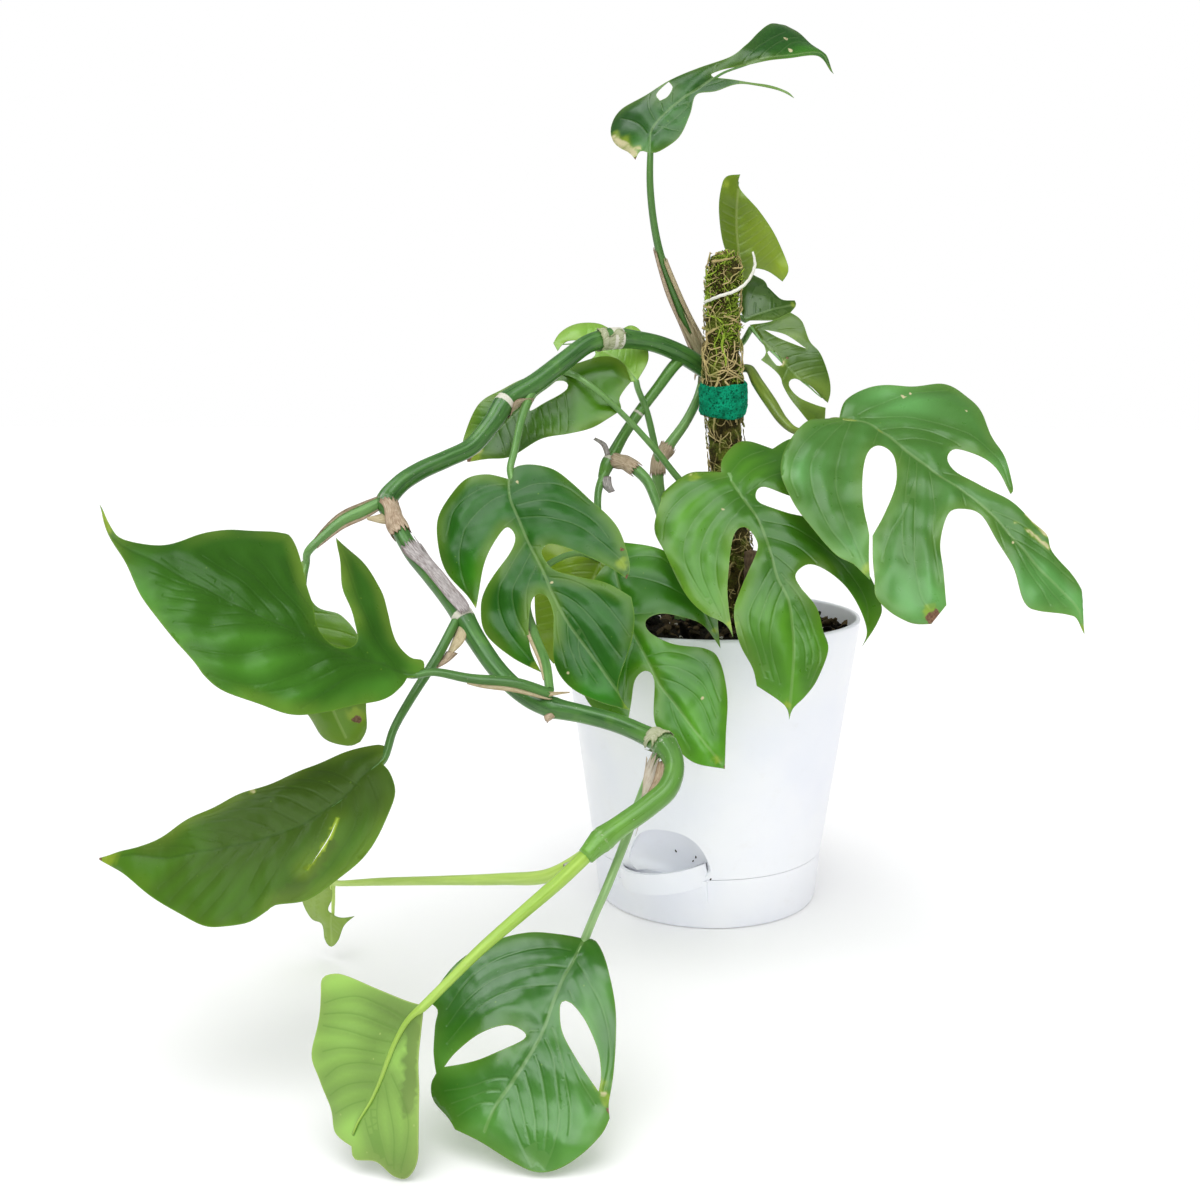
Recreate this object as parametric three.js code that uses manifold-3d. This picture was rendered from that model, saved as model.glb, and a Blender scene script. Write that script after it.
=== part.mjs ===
// Potted mini monstera: a climbing aroid in a white self-watering pot with a moss pole.
// Millimetres, +Z up. The origin is on the pot's axis, at the level of its foot.
// The plant's front, the side that its leaves face, is towards -Y.

import * as THREE from 'three';
import { mergeVertices } from 'three/addons/utils/BufferGeometryUtils.js';
import Module from 'manifold-3d';

const wasm = await Module();
wasm.setup();

// Driving dimensions of the pot
const POT_HEIGHT = 145;
const RIM_RADIUS = 75;
const WALL = 2.5;
const JOINT_HEIGHT = 26;
const JOINT_RADIUS = 58.5;
const FOOT_RADIUS = 56;
const SOIL_HEIGHT = 138.5;
const FLOOR_HEIGHT = 29.5;
const BASE_THICKNESS = 3;
const WICK_RADIUS = 15.5;
const WICK_BOTTOM = 4.5;
const SLOT_LENGTH = 60;
const SLOT_WIDTH = 2.4;
const SLOT_HEIGHT = 9;
const SLOT_LEVEL = 13;
const SLOT_COUNT = 3;
const LIP_ANGLE = THREE.MathUtils.degToRad(23.5);
const LIP_CENTRE = 41.5;
const LIP_RADIUS = 26;
const LIP_BOTTOM = 20.5;
const LIP_TOP = 29.3;
const LIP_TILT = THREE.MathUtils.degToRad(10);
const LIP_WALL = 2;
const TAB_OUTLINE = [[-8, 20.5], [24, 15], [24, 25.5]];
const TAB_PROUD = 1.2;
const NICHE_ANGLE = THREE.MathUtils.degToRad(18.5);
const NICHE_WIDTH = 42;
const NICHE_HEIGHT = 21;
const NICHE_DEPTH = 10;
const SOIL_EDGE_DROP = 2;
const SOIL_LUMP = 1.4;
const SOIL_GAP = 0.4;

// Driving dimensions of the plant
const GAP = 0.35;
const BLADE = 0.8;
const CREASE = 3;
const CURL_REACH = 30;
const EDGE_STEP = 8;
const INNER_EDGE = 16;
const TIE_HEIGHT = 15.5;
const TIE_THICKNESS = 1.4;
const TIE_CLEARANCE = 0.6;
const TIE_LEVEL = 251;
const TIE_SLOPE = 0.2;
const MOSS_DENT = 0.4;
const SHARP = true;

// How finely the round parts are cut
const POT_SIDES = 44;
const LIP_SIDES = 32;
const SOIL_SIDES = 30;
const TIE_SIDES = 26;
const POLE_SIDES = 10;
const VINE_SIDES = 8;
const SHOOT_SIDES = 7;
const PETIOLE_SIDES = 6;
const STEM_STEP = 11;
const SHEATH_STEP = 6;

const v3 = (p) => new THREE.Vector3(p[0], p[1], p[2]);

// Solids: a mesh with merged vertices goes to and from a boolean solid

function solidOf(geometry) {
  const bare = geometry.clone();
  bare.deleteAttribute('normal');
  bare.deleteAttribute('uv');
  const merged = mergeVertices(bare, 1e-4);
  return new wasm.Manifold(new wasm.Mesh({
    numProp: 3,
    vertProperties: new Float32Array(merged.attributes.position.array),
    triVerts: new Uint32Array(merged.index.array),
  }));
}

function geometryOf(solid) {
  const mesh = solid.getMesh();
  const geometry = new THREE.BufferGeometry();
  geometry.setAttribute('position', new THREE.BufferAttribute(new Float32Array(mesh.vertProperties), 3));
  geometry.setIndex(new THREE.BufferAttribute(new Uint32Array(mesh.triVerts), 1));
  geometry.computeVertexNormals();
  return geometry;
}

function joined(solids) {
  return solids.reduce((whole, piece) => whole.add(piece));
}

function largestPiece(solid) {
  return solid.decompose().sort((a, b) => b.volume() - a.volume())[0];
}

// A closed ring profile [radius, height] turned round the pot's axis
function turned(profile, sides = POT_SIDES) {
  const points = profile.map(([radius, height]) => new THREE.Vector2(radius, height));
  const geometry = new THREE.LatheGeometry(points, sides);
  geometry.rotateX(Math.PI / 2);
  return solidOf(geometry);
}

// A round stem through points [x, y, z, radius], closed at both ends
function stemGeometry(points, sides, step, extra = 0) {
  const route = points.map(v3);
  route[0].addScaledVector(route[0].clone().sub(route[1]).normalize(), extra);
  route.at(-1).addScaledVector(route.at(-1).clone().sub(route.at(-2)).normalize(), extra);
  const curve = new THREE.CatmullRomCurve3(route, false, 'centripetal');
  const radii = points.map((p) => p[3] + extra);
  const steps = Math.max(2, Math.round(curve.getLength() / step));
  const frames = curve.computeFrenetFrames(steps, false);
  const position = [];
  const index = [];
  for (let i = 0; i <= steps; i++) {
    const t = curve.getUtoTmapping(i / steps) * (points.length - 1);
    const k = Math.min(Math.floor(t), points.length - 2);
    const radius = THREE.MathUtils.lerp(radii[k], radii[k + 1], t - k);
    const centre = curve.getPointAt(i / steps);
    for (let j = 0; j < sides; j++) {
      const a = (2 * Math.PI * j) / sides;
      const p = centre.clone()
        .addScaledVector(frames.normals[i], radius * Math.cos(a))
        .addScaledVector(frames.binormals[i], radius * Math.sin(a));
      position.push(p.x, p.y, p.z);
    }
  }
  for (let i = 0; i < steps; i++) {
    for (let j = 0; j < sides; j++) {
      const a = i * sides + j;
      const b = i * sides + ((j + 1) % sides);
      index.push(a, b, a + sides, b, b + sides, a + sides);
    }
  }
  for (let j = 1; j < sides - 1; j++) {
    index.push(0, j + 1, j);
    const last = steps * sides;
    index.push(last, last + j, last + j + 1);
  }
  const geometry = new THREE.BufferGeometry();
  geometry.setAttribute('position', new THREE.Float32BufferAttribute(position, 3));
  geometry.setIndex(index);
  return geometry;
}

function stem(points, sides = PETIOLE_SIDES, step = STEM_STEP, extra = 0) {
  return solidOf(stemGeometry(points, sides, step, extra));
}

// Leaf blades
// Each blade is an outline in its own plane, [along, across] in millimetres from the leaf's
// base towards its tip. A smooth curve runs through the points, broken at those marked SHARP.
// The plane is lifted into an arched, creased sheet: arch along the midrib, fold at the midrib
// and curl towards the edges. The midrib itself bows sideways by bow.

const LEAVES = {
  leaf_far_left: {
    base: [-110, -168, 148.5], tip: [-221, -196, 214], face: [0.15, -0.62, 0.77],
    arch: 7, fold: 0.1, curl: 1.5, bow: 7,
    outline: [[-1.5, 0, SHARP], [1, -5], [6.5, -3], [13.5, -6], [21.5, -17], [28, -27], [39, -36],
      [52, -41, SHARP], [48.5, -33.5], [41.5, -17.5], [33, -5], [28, 2.5], [29, 7.5], [35, 10.5],
      [43.5, 7.5], [50, -2.5], [58.5, -15.5], [67, -26.5], [71.5, -26], [83.5, -19], [93.5, -10.5],
      [101, 1], [108, 6.5], [118.5, 8.5], [124.5, 6], [132, 0, SHARP], [126.5, 6.5], [120, 12],
      [110.5, 20.5], [98, 30.5], [85.5, 37], [75.5, 42], [69.5, 45], [61.5, 46.5], [49, 45],
      [34.5, 41.5], [21, 30], [9, 19], [5, 10.5], [4, 4.5, SHARP]],
    petiole: [[-61, -157, 138, 2], [-75, -160, 143, 2.1], [-92, -163, 145, 1.9], [-106, -166, 148, 1.6]],
  },
  leaf_hanging_left: {
    base: [-173.5, -112, 184], tip: [-148.5, -136, 110], face: [-0.2, -0.9, 0.3],
    arch: 6, fold: 0.1, curl: 2, bow: -3,
    outline: [[-1, 0, SHARP], [20.5, 2], [29, 12], [40.5, 17.5], [54, 17], [68.5, 12.5], [77.5, 9],
      [82, 4.5, SHARP], [82, -1], [76, -10], [65, -14], [53, -17], [35.5, -16.5], [14.5, -12],
      [3.5, -5.5]],
    petiole: [[-142, -98, 208, 2.6], [-150, -101, 204, 2.8], [-157.5, -104, 200.5, 2.5],
      [-165.5, -108, 193.5, 2.1], [-171.5, -111, 187, 1.7]],
  },
  leaf_low_left: {
    base: [-123, -176, 117.5], tip: [-228.5, -200, 82], face: [0.1, -0.6, 0.8],
    arch: 7, fold: 0.12, curl: 1.5, bow: 6,
    outline: [[-2, -1, SHARP], [1.5, -5.5], [13, -5.5], [28.5, -3], [40, -1], [55.5, -0.5],
      [71.5, 1.5], [85.5, 4.5], [96.5, 4.5], [106, 1], [114, 0, SHARP], [105, 10.5], [95, 25],
      [85, 36.5], [74.5, 46], [62.5, 49], [54, 47.5], [51, 46.5], [40.5, 47.5], [29, 45],
      [16.5, 38], [7.5, 29.5], [0.5, 17.5], [0, 8.5], [2, 3.5, SHARP]],
    holes: [[[22, 21, SHARP], [29, 29.5], [38, 38, SHARP], [30, 27]]],
    petiole: [[-103.5, -132, 162, 2], [-109, -144, 149.5, 2], [-116.5, -158, 136, 1.8],
      [-121, -170, 126, 1.6]],
  },
  leaf_front: {
    base: [-43, -217, 64], tip: [-73.5, -257, 9.5], face: [-0.05, -0.7, 0.7],
    arch: 5, fold: 0.06, curl: 3, bow: -6,
    outline: [[-0.5, 0, SHARP], [-1.5, 4], [3.5, 11], [13, 19], [23, 25], [36, 30.5], [45, 33],
      [48.5, 35, SHARP], [54, 35], [61.5, 32.5], [69.5, 27.5], [74, 21.5], [75, 13.5], [74.5, 0],
      [75, -10, SHARP], [73, -14], [70.5, -21.5], [66.5, -24.5], [62.5, -24.5, SHARP],
      [56.5, -29.5], [49, -33.5], [44, -35.5], [43, -40.5, SHARP], [36, -39.5], [23.5, -36],
      [13, -28], [6, -19], [2, -8.5]],
    holes: [
      [[59.5, -23, SHARP], [53.5, -21.5], [44.5, -16], [38, -8.5], [38, -1.5], [42.5, -3], [52, -12]],
      [[23, 4.5], [22, 7.5], [25, 14.5], [31.5, 22.5], [38, 27], [43, 28.5, SHARP], [37.5, 18],
        [32, 9.5], [26.5, 5.5]],
    ],
    petiole: [[-18, -184, 124, 1.5], [-21, -184, 115.5, 1.7], [-24, -186, 107.5, 1.7],
      [-26.5, -190, 101, 1.7], [-29, -197, 94.5, 1.7], [-31.5, -205, 89, 1.6], [-35, -212, 81, 1.6],
      [-39, -215, 72, 1.5]],
  },
  leaf_new_front: {
    base: [-92.5, -251, 53], tip: [-115, -263, 9.5], face: [0.15, 0.85, -0.4],
    arch: -3, fold: -0.12, curl: 0, bow: 0,
    outline: [[-0.5, 0, SHARP], [1.5, 6.5], [3.5, 17], [6, 29.5], [8, 35], [11.5, 38],
      [16.5, 35.5], [26.5, 30.5], [34.5, 27], [39, 20.5], [44.5, 13], [51, 8], [51, 0, SHARP],
      [54, -3], [50.5, -10], [51.5, -17], [50, -21.5], [43.5, -22.5], [34, -18.5], [24.5, -12.5],
      [12.5, -6], [2.5, -1.5]],
    petiole: [[-40, -213, 95.5, 2.7], [-50.5, -223.5, 87.5, 2.5], [-63, -233, 78.5, 2.2],
      [-75.5, -241, 69, 1.9], [-86, -247.5, 59.5, 1.6]],
  },
  leaf_new_small: {
    base: [-166.5, -112, 39], tip: [-169, -106, 6.5], face: [-0.3, -0.9, 0.2],
    arch: 0, fold: 0.2, curl: 1, bow: 0,
    outline: [[-0.5, 0.5, SHARP], [8, 0], [15, -2], [16, 4.5], [13.5, 12, SHARP], [19, 7.5],
      [28, 4], [33, 0], [30.5, -4], [23.5, -6], [23, -12.5], [14, -18], [4, -10.5]],
    petiole: [[-37, -207, 97, 2], [-47, -204, 87.5, 2.3], [-57.5, -198, 79.5, 2.6],
      [-78.5, -180, 70.5, 2.3], [-107, -158, 60.5, 1.9], [-137, -136, 50.5, 1.7], [-160, -118, 42, 1.3]],
  },
  leaf_behind_vine: {
    base: [-72.5, -16, 265], tip: [-116.5, -30, 222.5], face: [0.1, -0.85, 0.5],
    arch: 3, fold: 0.08, curl: 1, bow: 0,
    outline: [[0.5, -1, SHARP], [-9.5, 2], [-21, 7.5], [-25, 15], [-21, 25.5, SHARP], [-11, 28],
      [-6.5, 33], [5.5, 32], [19.5, 26], [31, 18], [47, 14], [55.5, 7, SHARP], [63.5, 0, SHARP],
      [57, -10], [40.5, -16.5], [25, -13.5], [8, -7]],
    holes: [[[25, 4], [15.5, 7], [4.5, 8.5], [3, 4.5], [9, 0], [16.5, 1]]],
    petiole: [[-19, 6, 178, 1.6], [-5.5, -2, 202, 1.7], [-15.5, -5, 212, 1.7], [-28.5, -12, 228.5, 1.6],
      [-44, -20, 245.5, 1.4], [-58, -25, 258, 1.4], [-66, -23, 263, 1.4]],
  },
  leaf_new_top_left: {
    base: [-37, -10, 261.5], tip: [-80, 12, 279], face: [0.1, -0.85, 0.5],
    arch: 3, fold: 0.1, curl: 1, bow: -6,
    outline: [[-0.5, 0.5, SHARP], [1, -10.5], [5, -17.5], [13.5, -25], [21, -26], [25.5, -19.5],
      [38, -21], [49, -15.5], [53, -8], [52, -0.5, SHARP], [46.5, 3, SHARP], [45.5, -3.5],
      [35.5, -7], [26.5, -3], [27, 2.5, SHARP], [31, 11, SHARP], [21, 9.5], [7, 5.5]],
    petiole: [[-26.5, 3, 220.5, 1.5], [-29.5, 2, 234, 1.7], [-32.5, 0, 246, 1.6], [-36.5, -7, 257, 1.5]],
  },
  leaf_centre_left: {
    base: [-89.5, -80, 217], tip: [-32, -126, 124.5], face: [-0.1, -0.85, 0.5],
    arch: 8, fold: -0.05, curl: 2.5, bow: 4,
    outline: [[-0.5, 0, SHARP], [-4, 4.5], [-1.5, 11.5], [6.5, 19.5], [17.5, 24], [30, 27.5],
      [42, 31], [51, 31.5], [64, 28.5], [69, 24.5, SHARP], [59, 19.5], [44, 8], [38.5, 2],
      [40.5, -2], [50, -1], [59, 7.5], [66.5, 16], [77, 22.5, SHARP], [85.5, 19.5], [94.5, 13],
      [106.5, 0.5], [113.5, -1], [118, 0, SHARP], [109, -10], [98.5, -17.5], [87, -19],
      [75.5, -13.5], [67, -9.5], [58.5, -9], [57, -14], [65, -20], [76.5, -25],
      [87, -25.5, SHARP], [75.5, -33.5], [61, -39], [50, -36.5], [42.5, -30.5], [34.5, -15],
      [28, -9], [22, -10], [24.5, -16], [33.5, -27], [48, -38, SHARP], [40.5, -39],
      [26.5, -42.5], [13.5, -41], [1, -36], [-6.5, -27.5], [-10.5, -17], [-7.5, -7.5]],
    petiole: [[-82, -43, 258, 2.1], [-85, -49, 251, 2.1], [-87, -58, 240.5, 1.8],
      [-88, -69, 229, 1.7], [-89, -76, 221, 1.6]],
  },
  leaf_centre: {
    base: [5.5, -66, 219.5], tip: [34.5, -114, 119], face: [-0.05, -0.75, 0.65],
    arch: 12, fold: 0.1, curl: 2, bow: 3,
    outline: [[-0.5, -1, SHARP], [-8, 1.5], [-15.5, 9.5], [-16, 16.5], [-9.5, 25.5, SHARP],
      [-14, 36], [-11, 46], [0, 52.5], [12.5, 51], [26, 45, SHARP], [24, 33.5], [18, 24.5],
      [11.5, 15.5], [14, 11], [20, 11], [27, 20.5], [32.5, 31], [42.5, 40], [56, 47],
      [74.5, 50.5], [82.5, 47], [92, 37, SHARP], [86, 41], [76.5, 40.5], [65.5, 36.5],
      [56.5, 30], [53, 23.5], [56.5, 17], [62.5, 17.5], [72.5, 22], [82, 22.5], [90.5, 22.5],
      [101.5, 15], [107, 8.5], [111, 2], [115, -0.5, SHARP], [109, -1], [98.5, -10.5, SHARP],
      [91, -10.5], [79.5, -13.5], [66.5, -12.5], [57, -7], [43, 3.5], [35.5, 4.5], [30, 1],
      [33.5, -4.5], [52, -11.5], [63, -14], [77, -15.5, SHARP], [70.5, -17.5], [63, -25],
      [52, -30.5], [31, -34.5], [18, -36], [6.5, -30.5], [1, -27.5], [-5, -15.5], [-3.5, -7.5]],
    petiole: [[-48, -8, 222, 2.2], [-40.5, -12, 220, 2.7], [-31.5, -17, 213, 2.6], [-26, -27, 202.5, 2.2],
      [-22, -40, 196, 1.8], [-9, -55, 203, 1.7], [1, -61, 212, 1.7]],
  },
  leaf_over_rim: {
    base: [-44.5, -62, 181], tip: [7, -106, 94.5], face: [0, -0.9, 0.4],
    arch: 7, fold: 0.05, curl: 1.5, bow: -3,
    outline: [[-0.5, 0, SHARP], [-5.5, 4.5], [-1, 12], [9.5, 22.5], [22.5, 31], [40.5, 32.5],
      [52.5, 27], [62.5, 23, SHARP], [49.5, 21], [41.5, 14], [36.5, 6.5], [36.5, -0.5],
      [42, -1.5], [50.5, 4.5], [60, 17], [67.5, 20], [82.5, 16], [97.5, 7.5], [110, 0.5, SHARP],
      [102, -10], [90, -15], [79, -17.5], [62.5, -9.5], [57, -11], [58.5, -17], [67.5, -23.5],
      [72.5, -27, SHARP], [66, -35.5], [57, -39.5], [44.5, -38], [23.5, -27.5], [8.5, -14.5]],
    petiole: [[-51, -9, 219, 2.2], [-55, -13, 207.5, 1.9], [-54, -24, 194, 1.7], [-48.5, -46, 184, 1.6]],
  },
  leaf_shaded: {
    base: [-51, -44, 177], tip: [-72.5, -58, 129.5], face: [0.1, -0.9, 0.3],
    arch: 3, fold: 0, curl: 1, bow: 0,
    outline: [[-0.5, 0, SHARP], [6.5, 8.5], [18, 13], [38.5, 13], [49.5, 6.5], [54, 0, SHARP],
      [48.5, -9], [34.5, -18.5], [15, -26.5], [3.5, -26], [0, -13.5]],
    petiole: [[-62.5, -152, 138.5, 1.8], [-66, -137, 146, 2], [-73.5, -115, 154, 2], [-80, -90, 164, 1.8],
      [-75, -70, 176, 1.5], [-62, -54, 181, 1.4]],
  },
  leaf_right: {
    base: [57.5, -58, 244.5], tip: [154, -110, 157], face: [0.1, -0.8, 0.6],
    arch: 10, fold: -0.03, curl: 2, bow: -10,
    outline: [[-0.5, -0.5, SHARP], [-5.5, 9], [-3, 21.5], [8, 36], [17, 50], [31, 51.5],
      [50, 42], [67.5, 31.5], [76, 25.5], [77.5, 22, SHARP], [67.5, 26], [55, 26], [46.5, 21.5],
      [47.5, 15], [54.5, 12], [66, 14], [78.5, 18.5], [92, 18.5], [100.5, 18.5], [107, 14.5],
      [118.5, 14.5], [129.5, 11], [135.5, 5], [140, 0, SHARP], [133.5, 2], [130, -0.5],
      [121.5, -9.5], [115, -11.5], [101.5, -4.5], [88, -0.5], [76.5, 3.5], [70.5, 0],
      [67.5, -7.5], [74, -19.5], [85.5, -30.5], [95.5, -38.5, SHARP], [97, -48.5, SHARP],
      [91.5, -54.5], [82, -58], [74, -58], [68.5, -53, SHARP], [54, -39.5, SHARP],
      [49.5, -27], [42, -12], [31.5, -2], [23.5, -2], [23, -9], [31.5, -21.5], [44.5, -34],
      [53, -40.5, SHARP], [67.5, -54.5, SHARP], [58, -53.5], [48, -56], [26.5, -51.5],
      [12, -46.5], [0.5, -38], [-6.5, -26], [-9, -12], [-5.5, -6]],
    petiole: [[9, 25, 264.5, 2], [13.5, 22.5, 266.5, 2], [18, 16, 266.5, 2.2], [22, 4.5, 259.5, 2.9],
      [28, -10, 250, 3], [33.5, -22, 241.5, 2.4], [39, -31, 237, 1.8], [47, -42, 238, 1.7],
      [54, -52, 242, 1.7]],
  },
  leaf_top: {
    base: [-32.5, 2, 370], tip: [57, 24, 409], face: [-0.1, -0.9, 0.4],
    arch: 7, fold: 0.15, curl: 1.5, bow: 24,
    outline: [[0, -0.5, SHARP], [-3, 2.5], [-7, -0.5, SHARP], [-7.5, 7.5], [-10.5, 18],
      [-7, 28.5], [1, 33], [14, 30], [28, 30], [41, 28], [56.5, 26], [67, 30], [78, 38],
      [91, 43.5], [98, 36.5], [102, 17.5], [103, 11.5], [100, 0, SHARP], [99, 10], [91, 13.5],
      [69, 18.5], [49.5, 21.5], [44, 21], [53, 13.5], [67, 5.5], [74, -0.5], [75.5, -5.5, SHARP],
      [70.5, 1.5], [56.5, 10], [43.5, 12.5], [33.5, 15.5], [25.5, 6.5], [15.5, -1.5], [5, -2.5]],
    holes: [[[25, 29.5, SHARP], [24.5, 24], [20.5, 21], [16.5, 21.5, SHARP], [17, 26.5]]],
    petiole: [[-5.5, 28, 258, 2.3], [-4.5, 29.5, 266, 2.9], [-5.5, 28.5, 273, 3.1], [-8.5, 25.5, 279.5, 3.3],
      [-14.5, 18.5, 291.5, 2.9], [-20.5, 12, 305, 2.4], [-26, 8, 320, 2], [-29.5, 6, 335.5, 1.8],
      [-31.5, 4, 354, 1.7]],
  },
  leaf_behind_pole: {
    base: [15.5, 16, 308], tip: [12.5, 14, 360.5], face: [0.2, -0.95, 0.1],
    arch: 0, fold: -0.25, curl: 0, bow: 3,
    outline: [[-2, 0.5, SHARP], [7, 5], [19, 10], [35, 12], [46, 10.5], [51.5, 7.5],
      [52.5, 0, SHARP], [46, 0.5], [33.5, -8.5], [20, -16.5], [6.5, -21], [0, -18, SHARP],
      [5.5, -11.5], [7, -4.5], [2, -2.5]],
    petiole: [[10.5, 22.5, 295, 1.5], [9.5, 18.5, 301, 1.4]],
  },
  leaf_pole_upper: {
    base: [16.5, 14, 291.5], tip: [41.5, 28, 299], face: [0, -0.9, 0.4],
    arch: 2, fold: 0.05, curl: 1, bow: 0,
    outline: [[-1, -1, SHARP], [0.5, 7.5], [5.5, 15.5], [15.5, 23.5, SHARP], [19.5, 17.5],
      [19, 13, SHARP], [23, 4.5], [30.5, 2.5, SHARP], [29, -1], [18, -6.5], [10, -6]],
    petiole: [[10.5, 23.5, 291, 1.5], [13.5, 19, 292, 1.4]],
  },
  leaf_pole_lower: {
    base: [19, 10, 288], tip: [57, 2, 251], face: [0.1, -0.9, 0.4],
    arch: 4, fold: 0.05, curl: 1, bow: -4,
    outline: [[-1, 0, SHARP], [5, 7.5], [8.5, 18.5, SHARP], [16, 19], [26, 14], [34, 13],
      [45, 8.5], [51, 4], [54, -0.5, SHARP], [43, -2], [34.5, -5.5], [35, -10], [44, -10],
      [55, -3, SHARP], [60.5, -10], [56.5, -14.5], [44, -14.5], [33.5, -12.5], [28.5, -10.5],
      [16.5, -11, SHARP], [15.5, -6.5], [9, -2.5]],
    holes: [[[6, 2.5, SHARP], [15, 7.5], [28, 10, SHARP], [16.5, 4.5]],
      [[16, -6], [18, -3], [25, -4.5], [24, -8]]],
    petiole: [[10, 25, 275, 1.5], [15, 19.5, 280, 1.5], [18, 13, 285, 1.5]],
  },
};

function leafFrame(leaf) {
  const base = v3(leaf.base);
  const along = v3(leaf.tip).sub(base);
  const length = along.length();
  along.normalize();
  const face = v3(leaf.face);
  face.addScaledVector(along, -face.dot(along)).normalize();
  const across = new THREE.Vector3().crossVectors(face, along);
  return { base, along, across, face, length };
}

// The place on the blade's middle surface at s along and t across
function bladePoint(leaf, frame, s, t, lift = 0) {
  const u = s / frame.length;
  const hump = 4 * u * (1 - u);
  const d = t - leaf.bow * hump;
  const crease = Math.sqrt(d * d + CREASE * CREASE) - CREASE;
  const height = leaf.arch * hump - leaf.fold * crease - leaf.curl * (d / CURL_REACH) ** 2;
  return frame.base.clone()
    .addScaledVector(frame.along, s)
    .addScaledVector(frame.across, t)
    .addScaledVector(frame.face, height + lift);
}

// A closed outline through the points, smooth except at the sharp ones
function smoothOutline(points, step) {
  const count = points.length;
  const place = (i) => new THREE.Vector2(points[(i + count) % count][0], points[(i + count) % count][1]);
  const sharp = (i) => points[(i + count) % count][2] === SHARP;
  const result = [];
  for (let i = 0; i < count; i++) {
    const b = place(i);
    const c = place(i + 1);
    const a = sharp(i) ? b : place(i - 1);
    const d = sharp(i + 1) ? c : place(i + 2);
    const pieces = Math.max(1, Math.round(b.distanceTo(c) / step));
    for (let k = 0; k < pieces; k++) {
      const t = k / pieces;
      const tangentB = c.clone().sub(a).multiplyScalar(0.5);
      const tangentC = d.clone().sub(b).multiplyScalar(0.5);
      const p = b.clone().multiplyScalar(2 * t ** 3 - 3 * t ** 2 + 1)
        .addScaledVector(c, -2 * t ** 3 + 3 * t ** 2)
        .addScaledVector(tangentB, t ** 3 - 2 * t ** 2 + t)
        .addScaledVector(tangentC, t ** 3 - t ** 2);
      result.push(p);
    }
  }
  return result;
}

// Triangles over an outline with holes, with no inner edge much longer than longest
function sheetTriangles(outline, holes, longest) {
  const points = [outline, ...holes].flat();
  const triangles = THREE.ShapeUtils.triangulateShape(outline, holes).map((t) => [...t]);
  const area = (a, b, c) => (b.x - a.x) * (c.y - a.y) - (c.x - a.x) * (b.y - a.y);
  const edgesOf = () => {
    const edges = new Map();
    triangles.forEach((t, n) => {
      for (let k = 0; k < 3; k++) {
        const key = [t[k], t[(k + 1) % 3]].sort((p, q) => p - q).join();
        if (!edges.has(key)) edges.set(key, []);
        edges.get(key).push([n, k]);
      }
    });
    return edges;
  };
  const angleAt = (p, q, r) => {
    const u = points[q].clone().sub(points[p]);
    const w = points[r].clone().sub(points[p]);
    return Math.acos(THREE.MathUtils.clamp(u.dot(w) / (u.length() * w.length() || 1), -1, 1));
  };
  const flipPass = () => {
    let changed = false;
    const touched = new Set();
    for (const [key, sides] of edgesOf()) {
      if (sides.length !== 2 || touched.has(sides[0][0]) || touched.has(sides[1][0])) continue;
      const [a, b] = key.split(',').map(Number);
      const c = triangles[sides[0][0]][(sides[0][1] + 2) % 3];
      const d = triangles[sides[1][0]][(sides[1][1] + 2) % 3];
      const convex = area(points[c], points[d], points[a]) * area(points[c], points[d], points[b]) < -1e-6;
      if (!convex || angleAt(c, a, b) + angleAt(d, a, b) <= Math.PI + 1e-6) continue;
      const first = area(points[c], points[d], points[a]) > 0 ? [c, d, a] : [d, c, a];
      const second = area(points[c], points[d], points[b]) > 0 ? [c, d, b] : [d, c, b];
      triangles[sides[0][0]] = first;
      triangles[sides[1][0]] = second;
      touched.add(sides[0][0]);
      touched.add(sides[1][0]);
      changed = true;
    }
    return changed;
  };
  triangles.forEach((t, n) => {
    if (area(points[t[0]], points[t[1]], points[t[2]]) < 0) triangles[n] = [t[0], t[2], t[1]];
  });
  for (let round = 0; round < 400; round++) {
    for (let pass = 0; pass < 20 && flipPass(); pass++);
    let worst = null;
    let worstLength = longest;
    for (const [key, sides] of edgesOf()) {
      if (sides.length !== 2) continue;
      const [a, b] = key.split(',').map(Number);
      const length = points[a].distanceTo(points[b]);
      if (length > worstLength) {
        worst = { a, b, sides };
        worstLength = length;
      }
    }
    if (!worst) break;
    const middle = points.length;
    points.push(points[worst.a].clone().add(points[worst.b]).multiplyScalar(0.5));
    for (const [n, k] of worst.sides) {
      const [p, q, r] = [triangles[n][k], triangles[n][(k + 1) % 3], triangles[n][(k + 2) % 3]];
      triangles[n] = [p, middle, r];
      triangles.push([middle, q, r]);
    }
  }
  return { points, triangles };
}

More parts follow.
